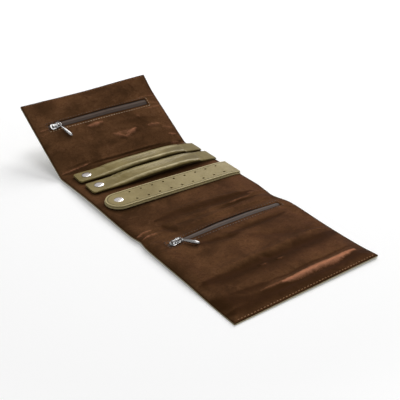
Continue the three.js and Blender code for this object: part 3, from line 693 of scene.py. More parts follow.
def paintedSatinLight(x, v):
    # painted light on the satin: copper painted highlights where folds would catch the light, painted shade
    # in the hollows
    light = np.zeros(x.shape)
    dark = np.zeros(x.shape)
    wander = v + ripple(x, v, lining["wander"])
    for x0, v0, x1, v1, wide, strength in lining["paintedStrokes"]:
        length = max((x1 - x0) ** 2 + (v1 - v0) ** 2, 1e-6)
        t = np.clip(((x - x0) * (x1 - x0) + (wander - v0) * (v1 - v0)) / length, 0, 1)
        out = wander - v0 - t * (v1 - v0)
        taper = wide * (0.15 + 0.85 * np.sin(np.pi * np.clip(t, 0.02, 0.98)) ** 0.5)
        taper *= np.where(out > 0, 0.55, 1.3)  # softer on the near side
        tone = abs(strength) * bell(np.hypot(x - x0 - t * (x1 - x0), out) / taper)
        if strength > 0:
            light = np.maximum(light, tone)
        else:
            dark = np.maximum(dark, tone)
    # darker along the outer edges of the lining
    hem = np.minimum(halfWide - np.abs(x), np.minimum(v - nearEnd, farEnd - v))
    dark = np.maximum(dark, lining["hemDark"] * bell(hem / lining["hemRun"]))
    # painted shadow along the lips of the zips, stronger on the lower side
    for window in zips.values():
        side = np.where(v < window["middle"] + zipBow(x, window), 1, 0.8)
        dark = np.maximum(dark, side * bell(lipDistance(x, v, window) / zipLook["lipShadowWidth"]))
    return light, dark


def drawnIn(x, v):
    return x * (1 - pinch["share"] * bell((v - pinch["at"]) / pinch["run"]))


def steps(*stops, gap=lining["grid"]):
    out = [np.array(stops[:1], float)]
    for a, b in zip(stops, stops[1:]):
        out.append(np.linspace(a, b, max(1, round(abs(b - a) / gap)) + 1)[1:])
    return np.concatenate(out)


def roundCorners(x, v):
    # the free corners of the folder are slightly round
    for end, sign in ((nearEnd, -1), (farEnd, 1)):
        dx = np.abs(x) - (halfWide - corner)
        dv = sign * (v - end) + corner
        inCorner = (dx > 0) & (dv > 0)
        reach = np.maximum(dx, dv) / np.maximum(np.hypot(dx, dv), 1e-6)
        x = np.where(inCorner, np.sign(x) * (halfWide - corner + dx * reach), x)
        v = np.where(inCorner, end - sign * corner + sign * dv * reach, v)
    return x, v


def flatGrid(name, columns, rows):
    bpy.ops.mesh.primitive_grid_add(x_subdivisions=len(columns) - 1, y_subdivisions=len(rows) - 1, size=2)
    piece = newPiece(name)
    co = points(piece)
    x = columns[np.rint((co[:, 0] + 1) / 2 * (len(columns) - 1)).astype(int)]
    v = rows[np.rint((co[:, 1] + 1) / 2 * (len(rows) - 1)).astype(int)]
    setPoints(piece, np.stack([x, v, 0 * x], 1))
    return piece


def layer(name, columns, rows, top, bottom, window=None, rounded=False, shift=None):
    # a grid between two heights over the panel, with an opening for a zip
    piece = flatGrid(name, columns, rows)
    if window:
        with editing(piece):
            bpy.ops.mesh.select_all(action="DESELECT")
            for face in bmesh.from_edit_mesh(piece.data).faces:
                c = face.calc_center_median()
                inOpening = window["left"] < c.x < window["right"] and window["low"] < c.y < window["high"]
                face.select = bool(inOpening)
            bmesh.update_edit_mesh(piece.data)
            bpy.ops.mesh.delete(type="FACE")
    modify(piece, "SOLIDIFY", thickness=1, offset=-1)
    applyModifiers(piece)
    co = points(piece)
    x, v = co[:, 0], co[:, 1]
    cloth = piece.data.uv_layers.new(name="cloth")
    index = np.array([loop.vertex_index for loop in piece.data.loops])
    cloth.data.foreach_set("uv", (co[index][:, :2] * mm).astype(np.float32).ravel())
    if window and "lens" in window:
        v = v + lipShift(x, v, window)
    if shift:
        v = v + shift(x)
    if rounded:
        x, v = roundCorners(x, v)
    h = np.where(co[:, 2] > -0.5, top(x, v), bottom(x, v))
    setPoints(piece, place(drawnIn(x, v), v, h))
    return piece, x, v


def addShare(piece, name, values):
    piece.data.attributes.new(name, "FLOAT", "POINT").data.foreach_set("value", values.astype(np.float32))


# each part of the lining and the leather lies across one crease: bodies, place
creases = {
    "far": ("far_spine", "far_flap", farFoldV),
    "farCrease": ("middle_panel", "far_spine", farCrease.y),
    "nearCrease": ("middle_panel", "near_spine", nearCrease.y),
    "near": ("near_spine", "near_flap", nearFold.y),
}


def foldBlend(piece, part, reach=1.6):
    first, second, v = creases[part]
    direction = 1 if v > 0 else -1
    start, end = (Vector(place(0, v + k * direction * reach, panelTop).tolist()) for k in (-1, 1))
    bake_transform(piece)


def liningPiece(part, columns, rows, nodes, window=None):
    under = lambda x, v: liningHeight(x, v) - lining["thick"]
    piece, x, v = layer(part + "Lining", columns, rows, liningHeight, under, window)
    # painted highlight and painted shade, kept on each point
    for share, values in zip(("paintedHighlight", "paintedShade"), paintedSatinLight(x, v)):
        addShare(piece, share, values)
    finishPiece(piece, satin, 50, nodes)
    foldBlend(piece, part)


edge = halfWide - lining["inset"]
farColumns = steps(-edge, zips["far"]["left"], zips["far"]["right"], edge)
nearColumns = steps(-edge, zips["near"]["left"], zips["near"]["right"], edge)
farRows = steps(farSeam, zips["far"]["low"], zips["far"]["high"], farEnd - lining["inset"])
nearRows = steps(nearEnd + lining["inset"], zips["near"]["low"], zips["near"]["high"], nearSeam)
liningPiece("far", farColumns, farRows, ["far_pocket_lining"], zips["far"])
liningPiece("farCrease", farColumns, steps(middleSeam, farCrease.y, farSeam),
            ["middle_lining", "far_spine_lining"])
liningPiece("nearCrease", nearColumns, steps(nearSeam, nearCrease.y, middleSeam),
            ["middle_lining", "near_spine_lining"])
liningPiece("near", nearColumns, nearRows, ["near_pocket_lining"], zips["near"])
print("lining laid")

# Outer leather, with a pale cut edge, partly its own colour and partly a painted highlight
leather = {"thick": 1, "grid": 2.5, "rimRun": 0.5, "sideRim": 0.4, "bendRun": 6}


def rimmed(stops, rims):
    # grid lines, with one close beside each cut edge
    lines = steps(*stops, gap=leather["grid"])
    return np.unique(np.concatenate([lines, [rim for rim in rims if lines[0] < rim < lines[-1]]]))


def leatherPiece(part, stops, nodes):
    rim = leather["rimRun"]
    columns = rimmed((-halfWide, corner - halfWide, halfWide - corner, halfWide),
                     (rim - halfWide, halfWide - rim))
    rows = rimmed(stops, (nearEnd + rim, farEnd - rim))
    top = lambda x, v: leather["thick"] + 0 * x
    piece, x, v = layer(part + "Leather", columns, rows, top, lambda x, v: 0 * x, rounded=True)
    # the pale cut edge: partly its own colour, partly a painted highlight
    sides = np.minimum(halfWide - np.abs(x), farEnd - v) < rim / 2
    addShare(piece, "rim", np.maximum(leather["sideRim"] * sides, v - nearEnd < rim / 2))
    finishPiece(piece, olive, 40, nodes)
    foldBlend(piece, part)


leatherPiece("far", (farSeam, farFoldV, farEnd - corner, farEnd), ["far_outer_leather"])
bendRun = leather["bendRun"]
leatherPiece("farCrease", (middleSeam, farCrease.y - bendRun, farCrease.y, farCrease.y + bendRun, farSeam),
             ["middle_outer_leather", "far_spine_outer_leather"])
leatherPiece("nearCrease", (nearSeam, nearCrease.y, middleSeam),
             ["middle_outer_leather", "near_spine_outer_leather"])
leatherPiece("near", (nearEnd, nearEnd + corner, nearFold.y, nearSeam), ["near_outer_leather"])
print("leather laid")

# Wadding and pocket backs, inside the panels
inside = {"clear": 0.15, "grid": 3, "crown": 6, "seat": 0.05, "least": 0.1, "hem": 0.35,
          "channelEnd": 2, "channelHalf": 5.5, "slope": 3, "back": 0.25, "backDown": 0.3, "backGrid": 1.5}


def underLining(x, v):
    return liningHeight(x, v) - lining["thick"] - inside["clear"]


def buildPadding(name, node, body, window):
    low, high = panelBox(node)
    base = low[2] + inside["seat"]

    def top(x, v):
        out = np.minimum(np.minimum(x - low[0], high[0] - x), np.minimum(v - low[1], high[1] - v))
        full = inside["hem"] + (1 - inside["hem"]) * smooth(out / inside["crown"])
        crowned = base + (high[2] - low[2]) * full
        return np.maximum(np.minimum(crowned, underLining(x, v)), base + inside["least"])

    ends = [window["left"], window["right"]] if window else []
    lips = [window["low"], window["high"]] if window else []
    columns = steps(low[0], *ends, high[0], gap=inside["grid"])
    rows = steps(low[1], *lips, high[1], gap=inside["grid"])
    piece, _, _ = layer(name, columns, rows, top, lambda x, v: np.full(x.shape, base), window)
    finishPiece(piece, wadding, 50, [node], body)


def padWindow(side):
    # the wadding leaves room for the zip's channel
    low, high = panelBox(side + "_zip_top_stop")[0], panelBox(side + "_zip_bottom_stop")[1]
    middle, half = zips[side]["middle"], inside["channelHalf"]
    return {"left": low[0] - inside["channelEnd"], "right": high[0] + inside["channelEnd"],
            "low": middle - half, "high": middle + half}


def buildPocketBack(side):
    node = side + "_pocket_back"
    low, high = panelBox(node)
    channel, slope = padWindow(side), inside["slope"]

    def height(x, v):
        # pressed down into a channel under the zip
        deep = 1 - smooth(windowDistance(x, v, channel) / slope + 0.2)
        flat = high[2] - inside["backDown"]
        return flat - (flat - low[2] - 0.02) * deep

    columns = steps(low[0], channel["left"] - slope, channel["right"] + slope, high[0], gap=inside["grid"])
    rows = steps(low[1], channel["low"] - slope, channel["high"] + slope, high[1], gap=inside["backGrid"])
    top = lambda x, v: np.minimum(height(x, v) + inside["back"], underLining(x, v))
    bottom = lambda x, v: np.minimum(height(x, v), underLining(x, v) - inside["least"])
    piece, _, _ = layer(side + "PocketBack", columns, rows, top, bottom)
    finishPiece(piece, pocketBrown, 50, [node], side + "_flap")
    side + "_padding"


buildPadding("middlePadding", "middle_padding", "middle_panel", None)
for side in ("near", "far"):
    buildPadding(side + "Padding", side + "_padding", side + "_flap", padWindow(side))
for side in ("near", "far"):
    buildPocketBack(side)
print("inside pieces laid")

# Zips: tapes, coils, stops, sliders, links and pulls
zipTape = {"thick": 0.3, "grid": 1, "fine": 0.6, "rise": 0.2, "fall": 0.8, "run": 4.2, "apart": 0.06,
           "clear": 0.08}
tooth = {"pitch": 1.45, "wide": 0.75, "tall": 0.7, "long": 1.8}
slider = {"bevel": 0.16, "dissolve": 2, "sharp": 28}
link = {"radius": 3.4, "wire": 0.42, "narrow": 0.12}
# barrel: distance from the hinge, radius
pull = {"lift": 0.5, "eye": 1.17, "eyeWire": 0.36, "eyeBroad": 1.7,
        "barrel": [(1.2, 0.66), (1.9, 0.86), (2.6, 0.8), (3.3, 1), (4.6, 1.28), (7, 1.56), (10, 1.82),
                   (12.6, 1.92), (14.8, 1.86), (16.4, 1.6), (17.5, 1.18), (18.05, 0.72), (18.25, 0.36),
                   (18.3, 0.1)]}


def bareTooth():
    # one half loop of the coil, bent over its tape
    bpy.ops.mesh.primitive_cylinder_add(vertices=6, radius=tooth["wide"] / 2, depth=tooth["long"],
                                        rotation=(math.pi / 2, 0, 0))
    piece = newPiece("tooth")
    bpy.ops.object.transform_apply()
    with editing(piece):
        bpy.ops.mesh.bisect(plane_co=(0, -tooth["long"] / 4, 0), plane_no=(0, 1, 0))
    co = points(piece)
    nose = np.clip(-co[:, 1] / tooth["long"] * 2, 0, 1)
    co[:, 0] *= 1 - 0.35 * nose
    co[:, 2] = co[:, 2] / tooth["wide"] * tooth["tall"] * (1 - 0.2 * nose)
    setPoints(piece, co)
    return piece


def buildTape(side, row):
    node = side + "_zip_" + row + "_tape"
    low, high = panelBox(node)
    lower = row == "lower"
    inner = zips[side]["middle"] + (-zipTape["apart"] if lower else zipTape["apart"])
    low[1], high[1] = (low[1], inner) if lower else (inner, high[1])

    def top(x, v):
        # the tape stands highest at the middle, over its coil, and dips under the lips
        fall = np.minimum(np.abs(v - zipBow(x, zips[side]) - inner) / zipTape["run"], 1) * zipTape["fall"]
        free = low[2] + zipTape["thick"] + zipTape["rise"] - fall - edgeDrop(x, v)
        covered = liningHeight(x, v) - lining["thick"] - zipTape["clear"]
        return np.where(lipDistance(x, v, zips[side]) < 0.3, free, np.minimum(free, covered))

    rows = steps(low[1], high[1], gap=zipTape["fine"])
    piece, x, v = layer(node + "Woven", steps(low[0], high[0], gap=zipTape["grid"]), rows, top,
                        lambda x, v: top(x, v) - zipTape["thick"], shift=lambda x: zipBow(x, zips[side]))
    # painted shade: the tape darkens towards the lips, over a wider reach on the lower side, and the lower
    # tape is darker all over as if tilted away from the light
    lipShadow = smooth(1 + lipDistance(x, v, zips[side]) / (3 if lower else 1.2))
    addShare(piece, "shade", np.maximum(lipShadow, 0.4 * lower))
    finishPiece(piece, tape, 50, [node], side + "_flap")
    side + "_pocket_lining"


def buildCoil(side, row):
    node = side + "_zip_" + row + "_coil"
    low, high = panelBox(node)
    count = int((high[0] - low[0] - tooth["wide"]) / tooth["pitch"])
    turn, shift = (0, 0) if row == "upper" else (math.pi, tooth["pitch"] / 2)
    middle, height = (low[1] + high[1]) / 2, (low[2] + high[2]) / 2
    xs = [low[0] + tooth["wide"] / 2 + shift + k * tooth["pitch"] for k in range(count)]
    places = [(x, middle + float(zipBow(x, zips[side])), height, turn) for x in xs]
    piece = repeated(node + "Teeth", bareTooth(), places)
    x, v, h = points(piece).T
    setPoints(piece, place(x, v, h - edgeDrop(x, v)))
    finishPiece(piece, coil, 60, [node], side + "_flap")


def softenedCopy(node, name, body):
    # the CAD solid with its edges rounded as by polishing
    source = frame["nodes"][node]
    piece = source.copy()
    piece.data = source.data.copy()
    piece.parent = None
    for key in list(piece.keys()):
        del piece[key]
    piece.name = name
    bpy.context.scene.collection.objects.link(piece)
    tidyMesh(piece, 0.000002)
    with editing(piece):
        bpy.ops.mesh.dissolve_limited(angle_limit=math.radians(slider["dissolve"]))
    modify(piece, "BEVEL", width=slider["bevel"] * mm, segments=3, limit_method="ANGLE",
           angle_limit=math.radians(slider["sharp"]))
    applyModifiers(piece)
    finishPiece(piece, zipNickel, 45, [node], body)


def hingeFrame(joint, normal):
    # where a link or a pull hangs: its axis is y, the flap's normal is z
    axisY = jointAxis(joint)
    axisX = axisY.cross(normal)
    turn = Matrix((axisX, axisY, normal)).transposed().to_4x4()
    return Matrix.Translation(jointPlace(joint) * mm) @ turn @ Matrix.Scale(mm, 4)


def buildLink(side, normal):
    bpy.ops.mesh.primitive_torus_add(major_radius=link["radius"], minor_radius=link["wire"],
                                     major_segments=56, minor_segments=14)
    piece = newPiece(side + "ZipLink")
    co = points(piece)
    outer = np.clip(co[:, 0] / link["radius"], -1, 1)
    co[:, 1] *= 1 - link["narrow"] * outer ** 2 * (outer > 0)  # drawn in towards the pull
    setPoints(piece, co)
    hang = hingeFrame(side + "_pull_lift", normal)
    hang.translation = jointPlace(side + "_link_turn") * mm
    piece.data.transform(hang)
    finishPiece(piece, zipNickel, 60, [side + "_zip_pull_link"], side + "_link")


def buildPull(side, normal):
    barrel = turnedPiece("barrel", [(radius, along) for along, radius in pull["barrel"]], 28)
    barrel.data.transform(Matrix.Rotation(math.pi / 2, 4, "Y"))
    bpy.ops.mesh.primitive_torus_add(major_radius=pull["eye"], minor_radius=pull["eyeWire"],
                                     major_segments=32, minor_segments=12, rotation=(math.pi / 2, 0, 0))
    eye = newPiece("eye")
    bpy.ops.object.transform_apply()
    co = points(eye)
    co[:, 1] *= pull["eyeBroad"]
    setPoints(eye, co)
    piece = joined(side + "ZipPull", [barrel, eye])
    piece.data.transform(hingeFrame(side + "_pull_lift", normal) @ Matrix.Translation((0, 0, pull["lift"])))
    finishPiece(piece, zipNickel, 50, [side + "_zip_pull"], side + "_pull")


for side in ("near", "far"):
    normal = Vector((0, 0, 1)) if side == "near" else Vector((0, -math.sin(tilt), math.cos(tilt)))
    for row in ("upper", "lower"):
        buildTape(side, row)
        buildCoil(side, row)
    for end in ("top", "bottom"):
        softenedCopy(f"{side}_zip_{end}_stop", side + "Zip" + end.title() + "Stop", side + "_flap")
    softenedCopy(side + "_zip_slider", side + "ZipSlider", side + "_slider")
    buildLink(side, normal)
    buildPull(side, normal)
print("zips made")

# Straps: each has its own frame, with -x along the strap and y across it
strap = {"sewn": 7.4, "lift": 1.5, "seat": 0.3}


def strapFrame(joint):
    origin = jointPlace(joint)
    axisY = -jointAxis(joint)
    axisX = axisY.cross(Vector((0, 0, 1)))
    return origin, axisX, axisY


def strapToFolder(joint, x, y):
    origin, axisX, axisY = strapFrame(joint)
    return origin.x + x * axisX.x + y * axisY.x, origin.y + x * axisX.y + y * axisY.y


ringBar = {"rings": 150, "around": 48, "pole": 0.02, "wide": 22.6, "tabWide": 21.6, "flat": 2.6,
           "tube": 20.4, "tall": 5.8, "arch": 1.3, "sewnTaper": 42, "tabTaper": 50, "tab": 20,
           "corner": 3, "endFlat": 2,
           "lean": -4, "nearer": 0.7, "pressure": 5, "grow": -0.02, "cap": 0.9, "frames": 20,
           # folds along the tube: height, place across, half width
           "folds": [(0.75, 0.78, 0.2), (-0.9, 0.12, 0.36), (0.3, -0.55, 0.22)],
           # tucks across it: reach, depth, half width, lean
           "tucks": [(46, 0.3, 1.1, 0.25), (61, 0.5, 0.9, 0.1), (66, 0.35, 0.8, -0.2), (80, 0.45, 1, 0.3),
                     (97, 0.4, 1.2, -0.3), (114, 0.4, 1, 0.5), (122, 0.35, 1, -0.4)],
           # painted light in stripes along it, a painted highlight near the far crest and painted shade in
           # the dip: strength, place across, half width
           "paintedBarStripes": [(0.35, -0.5, 0.16), (-0.35, 0.2, 0.3)],
           # an even lift of the painted light, darkening towards the sewn end, painted shade down the near
           # side, and how uneven the surface is
           "barLightLift": 0.18, "sewnDark": 0.6, "shade": 1.3, "uneven": 0.2,
           # where the folds fade and the simulation is held: start, run
           "fadeTab": (8, 55), "fadeSewn": (4, 30), "holdSewn": (3, 12), "holdTab": (20, 14),
           "edge": (55, 20)}


def barSection(reach, length):
    # half width, underside, thickness and roundness along a ring bar, from its stitch line
    rises = smooth(reach / ringBar["sewnTaper"])
    falls = smooth((length - reach - ringBar["tab"]) / ringBar["tabTaper"])
    roundness = np.minimum(rises, falls)
    tabShare = smooth((reach - ringBar["sewnTaper"]) / (length - ringBar["tab"] - ringBar["sewnTaper"]))
    flatWide = ringBar["wide"] + (ringBar["tabWide"] - ringBar["wide"]) * tabShare
    cornerShare = np.clip(1 - (length - reach) / ringBar["corner"], 0, 1)
    cornerCut = ringBar["corner"] * (1 - np.sqrt(1 - cornerShare ** 2 * 0.98))
    flatBottom = panelTop + strap["seat"] + (strap["lift"] - strap["seat"]) * tabShare
    bottom = flatBottom + (panelTop + strap["seat"] + ringBar["arch"] - flatBottom) * roundness
    across = (flatWide + (ringBar["tube"] - flatWide) * roundness) / 2 - cornerCut
    thick = ringBar["flat"] + (ringBar["tall"] - ringBar["flat"]) * roundness
    return across, bottom, thick, roundness


def puffUp(piece, held):
    # swollen a little by simulation, with its sewn and snapped ends held
    start = points(piece)
    group = piece.vertex_groups.new(name="held")
    for index, weight in enumerate(held):
        group.add([index], float(weight), "REPLACE")
    puff = piece.modifiers.new("puff", "CLOTH")
    puff.settings.quality = 5
    puff.settings.mass = 0.2
    puff.settings.bending_stiffness = 0.4
    puff.settings.use_pressure = True
    puff.settings.uniform_pressure_force = ringBar["pressure"]
    puff.settings.shrink_min = ringBar["grow"]
    puff.settings.effector_weights.gravity = 0
    puff.settings.vertex_group_mass = "held"
    puff.point_cache.frame_end = ringBar["frames"]
    for step in range(1, ringBar["frames"] + 1):
        bpy.context.scene.frame_set(step)
    applyModifiers(piece)
    bpy.context.scene.frame_set(1)
    move = points(piece) - start
    far = np.maximum(np.linalg.norm(move, axis=1, keepdims=True), 1e-9)
    print(piece.name, "swelled by", round(float(far.max() / mm), 2), "mm before the cap")
    setPoints(piece, start + move * np.minimum(1, ringBar["cap"] * mm / far))
    piece.vertex_groups.clear()


def buildRingBar(name, seed, wider):
    joint = name + "_lift"
    length = strapFrame(joint)[0].x - flatBox(name + "_cover")[0].x
    bpy.ops.mesh.primitive_uv_sphere_add(segments=ringBar["around"], ring_count=ringBar["rings"], radius=1)
    piece = newPiece(name + "Padded")
    co = points(piece)
    share = np.arccos(np.clip(co[:, 2], -1, 1)) / math.pi
    angle = np.arctan2(co[:, 1], co[:, 0])
    fill = np.minimum(np.clip(share / ringBar["pole"], 0, 1), np.clip((1 - share) / ringBar["pole"], 0, 1))
    sewn = strap["sewn"] - 1
    reach = -sewn + np.clip((share - ringBar["pole"]) / (1 - 2 * ringBar["pole"]), 0, 1) * (length + sewn)
    across, bottom, thick, roundness = barSection(reach, length)
    across = across + wider / 2
    sewnThick = ringBar["flat"] + (ringBar["endFlat"] - ringBar["flat"]) * smooth(-reach / sewn)
    thick = np.where(reach < 0, sewnThick, thick)
    power = 2 / (5 - np.where(np.cos(angle) > 0, 0.9, 2.2) * roundness)
    sideways = np.sign(np.cos(angle)) * np.abs(np.cos(angle)) ** power
    upward = np.sign(np.sin(angle)) * np.abs(np.sin(angle)) ** power
    # a fold runs from the tab's near corner along the tube's shoulder, and short tucks cross it
    fromTab = length - reach
    runs = ramp(fromTab, *ringBar["fadeTab"]) * ramp(reach, *ringBar["fadeSewn"])
    relief = sum(height * bell((sideways - at) / wide) * runs for height, at, wide in ringBar["folds"])
    for at, depth, wide, lean in ringBar["tucks"]:
        where = (reach - at - lean * (angle - 1) * 6) / wide
        relief -= depth * bell(where) * bell((angle - 0.7) / 0.4) * seed * runs
    # painted highlight along the near crest
    paintedBarLight = bell((sideways - 0.8) / 0.13) * (upward > 0) * (0.75 + 0.5 * softNoise(reach, angle, 0.09, 4.4))
    for strength, at, wide in ringBar["paintedBarStripes"]:
        paintedBarLight += strength * bell((sideways - at) / wide) * (upward > 0)
    # painted shade down the near side
    paintedBarLight -= ringBar["shade"] * smooth((0.5 - upward) / 0.5) * ramp(sideways, 0.8, 0.15)  # down the near side
    y = -across * sideways * fill - ringBar["nearer"] * roundness
    z = (thick / 2 * upward + relief * np.clip(np.sin(angle), 0, 1) ** 0.5) * fill
    lean = math.radians(ringBar["lean"]) * roundness
    y, z = y * np.cos(lean) + z * np.sin(lean), bottom + thick / 2 + z * np.cos(lean) - y * np.sin(lean)
    worldX, worldY = strapToFolder(joint, -reach, y)
    uneven = ringBar["uneven"] * roundness * softNoise(reach * 2, angle * 8, 0.05, 5)
    z += -edgeDrop(worldX, worldY) * ramp(worldX, *ringBar["edge"]) + uneven
    setPoints(piece, np.stack([worldX, worldY, z], 1) * mm)
    tidyMesh(piece)
    puffUp(piece, 1 - ramp(reach, *ringBar["holdSewn"]) * ramp(fromTab, *ringBar["holdTab"]))
    # darker towards the sewn end
    sewnDark = ringBar["sewnDark"] * smooth((62 - reach) / 45)
    addShare(piece, "paintedBarLight", paintedBarLight * runs + ringBar["barLightLift"] - sewnDark)
    finishPiece(piece, barKhaki, 60, [name + "_cover", name + "_core", name + "_sewn_end"])
    strapBlend(piece, name)


def strapBlend(piece, name):
    origin, axisX, _ = strapFrame(name + "_lift")
    start, end = ((origin + axisX * k) * mm for k in (2, -3))
    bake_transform(piece)


for name, seed, wider in (("ring_bar_1", 0.6, 0), ("ring_bar_2", 1, 2)):
    buildRingBar(name, seed, wider)
print("ring bars made")

earring = {"wide": 31, "top": 1.4, "back": 1.2, "gap": 0.6, "backOut": 0.9, "hole": 1.35, "pitch": 14,
           "rows": 17.5, "fromSnap": 17.5, "pairs": 9, "grid": 1.6, "bevel": 0.42, "stitchIn": 2.3,
           "sag": 0.15, "sagRun": 21, "edge": (60, 18)}


def strapPlate(name, length, out, thick):
    # a grid drawn into a strip with a round free end, then given its thickness
    half = earring["wide"] / 2 + out
    turnX = -length + earring["wide"] / 2
    columns = steps(turnX - half, turnX, strap["sewn"] - 1, gap=earring["grid"])
    piece = flatGrid(name, columns, steps(-half, half, gap=earring["grid"]))
    co = points(piece)
    u = np.clip((turnX - co[:, 0]) / half, 0, 1)
    w = co[:, 1] / half
    co[:, 0] = np.where(u > 0, turnX - half * u * np.sqrt(1 - w * w / 2), co[:, 0])
    co[:, 1] = half * w * np.sqrt(1 - u * u / 2)
    co[:, 2] = thick
    setPoints(piece, co)
    modify(piece, "SOLIDIFY", thickness=thick, offset=-1)
    applyModifiers(piece)
    return piece


def holePunch(reach):
    # all the pins of the punch, as one piece
    pins = []
    for k in range(earring["pairs"]):
        for row in (-0.5, 0.5):
            where = (earring["fromSnap"] + k * earring["pitch"] - reach, row * earring["rows"], 0)
            bpy.ops.mesh.primitive_cylinder_add(vertices=20, radius=earring["hole"], depth=12,
                                                location=where)
            pins.append(newPiece("pin"))
    punch = joined("punch", pins)
    bpy.ops.object.transform_apply()
    return punch


def layOnFolder(piece, base, snapReach):
    # the earring strap and its stitches go from the strap's own frame to their place
    x, y, h = points(piece).T
    worldX, worldY = strapToFolder("earring_strap_lift", x, y)
    lean = strap["seat"] + (strap["lift"] - strap["seat"]) * np.clip(-x / snapReach, 0, 1.2)
    drop = edgeDrop(worldX, worldY) * ramp(worldX, *earring["edge"])
    seat = panelTop + lean - drop + earring["sag"] * np.sin(x / earring["sagRun"])
    setPoints(piece, np.stack([worldX, worldY, h + base + seat], 1) * mm)


def buildEarringStrap():
    name = "earring_strap"
    origin = strapFrame(name + "_lift")[0]
    length = origin.x - flatBox(name + "_top")[0].x
    snapLow, snapHigh = flatBox(name + "_snap_cap")
    snapReach = origin.x - (snapLow.x + snapHigh.x) / 2
    for label, out, thick, base in (("Backing", earring["backOut"], earring["back"], 0),
                                    ("Top", 0, earring["top"], earring["back"] + earring["gap"])):
        piece = strapPlate(name + label + "Leather", length, out, thick)
        punch = holePunch(snapReach)
        alone(piece)
        modify(piece, "BOOLEAN", object=punch, operation="DIFFERENCE", solver="EXACT")
        modify(piece, "BEVEL", width=earring["bevel"], segments=2, limit_method="ANGLE",
               angle_limit=math.radians(50))
        applyModifiers(piece)
        bpy.data.objects.remove(punch)
        x, y, _ = points(piece).T
        fromEdge = earring["wide"] / 2 + out - np.hypot(np.maximum(earring["wide"] / 2 - length - x, 0), y)
        addShare(piece, "edge", np.maximum(fromEdge, 0))
        layOnFolder(piece, base, snapReach)
        nodes = [name + "_" + label.lower()] + ([name + "_sewn_end"] if label == "Top" else [])
        finishPiece(piece, khaki, 40, nodes)
        strapBlend(piece, name)
    return snapReach, length


snapReach, strapLength = buildEarringStrap()
print("earring strap made")

# Snaps
snap = {"cap": [(1.15, -1.4), (1.15, 0.02), (4.7, 0.02), (5.25, 0.16), (5.42, 0.4), (5.3, 0.66), (4.9, 0.9),
                (4.2, 1.08), (3.2, 1.2), (2, 1.27), (0.8, 1.3), (0.1, 1.3)],
        "stud": [(3.3, 0), (3.6, 0.12), (3.6, 0.38), (3.3, 0.5), (2.2, 0.56), (1.85, 0.75), (1.8, 1.2),
                 (2, 1.5), (1.95, 1.75), (1.7, 1.9), (0.9, 1.9), (0.1, 1.86)],
        "socket": [(2.3, 0.9), (2.3, 0), (2.6, -0.06), (3.6, 0.02), (4, 0.3), (4, 1.45), (3.8, 1.62),
                   (0.1, 1.66)]}


def buildSnap(name):
    for part, body in (("cap", name), ("stud", "middle_panel"), ("socket", name)):
        node = f"{name}_snap_{part}"
        low, high = flatBox(node)
        piece = turnedPiece(node + "Turned", snap[part])
        base = high.z - max(h for _, h in snap[part]) if part != "stud" else low.z
        shift = Vector(((low.x + high.x) / 2, (low.y + high.y) / 2, base))
        piece.data.transform(Matrix.Scale(mm, 4) @ Matrix.Translation(shift))
        finishPiece(piece, nickel, 35, [node], body)
    frame["nodes"][name + "_snap_eyelet"].data.materials[0] = nickel


for name in ("ring_bar_1", "ring_bar_2", "earring_strap"):
    buildSnap(name)
print("snaps made")

# Stitches
stitch = {"long": 2.1, "thick": 0.7, "pitch": 3.5, "sink": 0.12}


def bareStitch():
    # a short thread, pulled in at both ends
    long = stitch["long"]
    bpy.ops.mesh.primitive_cylinder_add(vertices=6, radius=stitch["thick"] / 2, depth=long,
                                        rotation=(0, math.pi / 2, 0))
    piece = newPiece("stitch")
    bpy.ops.object.transform_apply()
    with editing(piece):
        for x in (-long * 0.3, 0, long * 0.3):
            bpy.ops.mesh.select_all(action="SELECT")
            bpy.ops.mesh.bisect(plane_co=(x, 0, 0), plane_no=(1, 0, 0))
    co = points(piece)
    out = np.abs(co[:, 0]) / (long / 2)
    co[:, 1:] *= (1 - 0.45 * out[:, None] ** 3)
    co[:, 2] += stitch["thick"] * (0.1 - 0.55 * out ** 2)
    setPoints(piece, co)
    return piece


def along(x0, v0, x1, v1):
    # evenly spaced stitch places on a line
    dx, dv = x1 - x0, v1 - v0
    count = max(1, int(math.hypot(dx, dv) / stitch["pitch"]))
    return [(x0 + dx * (k + 0.5) / count, v0 + dv * (k + 0.5) / count, 0, math.atan2(dv, dx))
            for k in range(count)]


def liningStitches(name, places, thread, body, window=None):
    piece = repeated(name, bareStitch(), places)
    x, v, h = points(piece).T
    if window:
        v = v + lipShift(x, v, window)
    setPoints(piece, place(x, v, liningHeight(x, v) + h + stitch["sink"]))
    finishPiece(piece, thread, 60, body=body)


seam = {"edgeIn": 2.4, "endIn": 4, "zipOut": 2}
for side, v in (("near", nearEnd + seam["edgeIn"]), ("far", farEnd - seam["edgeIn"])):
    end = halfWide - seam["endIn"]
    liningStitches(side + "EdgeStitches", along(-end, v, end, v), tanThread, side + "_flap")
for side in ("near", "far"):
    window = zips[side]
    left, right = window["left"] - seam["zipOut"], window["right"] + seam["zipOut"]
    low, high = window["low"] - seam["zipOut"], window["high"] + seam["zipOut"]
    liningStitches(side + "ZipLowerStitches", along(left, low, right, low) + along(right, low, right, high),
                   paleThread if side == "far" else brownThread, side + "_flap", window)
    liningStitches(side + "ZipUpperStitches", along(right, high, left, high) + along(left, high, left, low),
                   brownThread, side + "_flap", window)


def strapStitches():
    half = earring["wide"] / 2 - earring["stitchIn"]
    turnX = -strapLength + earring["wide"] / 2
    places = along(-2, half, turnX, half)
    count = int(math.pi * half / stitch["pitch"])
    for k in range(count):
        angle = math.pi / 2 + math.pi * (k + 0.5) / count
        places.append((turnX + half * math.cos(angle), half * math.sin(angle), 0, angle + math.pi / 2))
    places += along(turnX, -half, -2, -half)
    piece = repeated("earringStrapStitches", bareStitch(), places)
    layOnFolder(piece, earring["back"] + earring["gap"] + earring["top"], snapReach)
    finishPiece(piece, khakiThread, 60)
    strapBlend(piece, "earring_strap")


strapStitches()
print("stitches sewn")

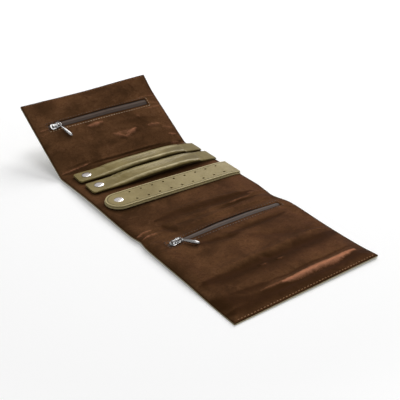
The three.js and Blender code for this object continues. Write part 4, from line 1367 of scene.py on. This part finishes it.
# Camera as in the photograph
shot = {"place": (-0.3868, -0.6261, 0.3914), "azimuth": 34.89, "elevation": 29.08, "roll": -1.0,
        "lens": 67.53}
bpy.ops.object.camera_add(location=shot["place"])
camera = bpy.context.active_object
camera.name = "photoCamera"
turn = (Matrix.Rotation(-math.radians(shot["azimuth"]), 3, "Z")
        @ Matrix.Rotation(math.radians(90 - shot["elevation"]), 3, "X")
        @ Matrix.Rotation(math.radians(shot["roll"]), 3, "Z"))
camera.rotation_euler = turn.to_euler()
camera.data.lens = shot["lens"]
camera.data.sensor_width = 36
camera.data.clip_start = 0.01
camera.data.clip_end = 50
bpy.context.scene.camera = camera


# Floor and light
def paleFloor():
    # white floor that keeps the shadow: the camera sees it lifted, and more so away from the folder
    r = Recipe("paleFloor", Base_Color=(0.86, 0.86, 0.86, 1), Roughness=0.9, Specular_IOR_Level=0.1,
               Emission_Strength=1)
    away = r.between(r.node("VectorMath", {"operation": "LENGTH"}, {0: r.where()}, 1), 0.3, 0.8)
    lift = r.seen() * (0.21 + away * 0.6)
    r.feed("Emission Color", r.mix(lift, (0, 0, 0, 1), (1, 1, 1, 1)))
    return r.block


bpy.ops.mesh.primitive_plane_add(size=14, location=(0, 0, -0.0002))
floor = newPiece("floor")
floor.data.materials.append(paleFloor())
floor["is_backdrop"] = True

studio = {
    "sky": 0.2, "backdrop": 0.6,
    # name: place, aim, size, watts
    "lamps": {"backSoftbox": ((2.0, 1.15, 1.75), (0, 0, 0), 1.9, 64),
              "topSoftbox": ((0.25, 0.05, 2.3), (0, 0, 0), 1.0, 14),
              "frontFill": ((-1.6, -2.2, 1.3), (0, -0.05, 0), 2.4, 14)},
}
world = Recipe("studioWorld", "worlds", "Background", Color=(1, 1, 1, 1))
level = {"Value": world.seen(), "To Min": studio["sky"], "To Max": studio["backdrop"]}
world.feed("Strength", world.node("MapRange", {}, level))
bpy.context.scene.world = world.block
for lampName, (where, aim, size, watts) in studio["lamps"].items():
    bpy.ops.object.light_add(type="AREA", location=where)
    lamp = bpy.context.active_object
    lamp.name = lampName
    lamp.data.size = size
    lamp.data.energy = watts
    lamp.rotation_euler = (Vector(where) - Vector(aim)).to_track_quat("Z", "Y").to_euler()
bpy.context.scene.view_settings.view_transform = "Standard"

low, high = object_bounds()
print("scene ready")
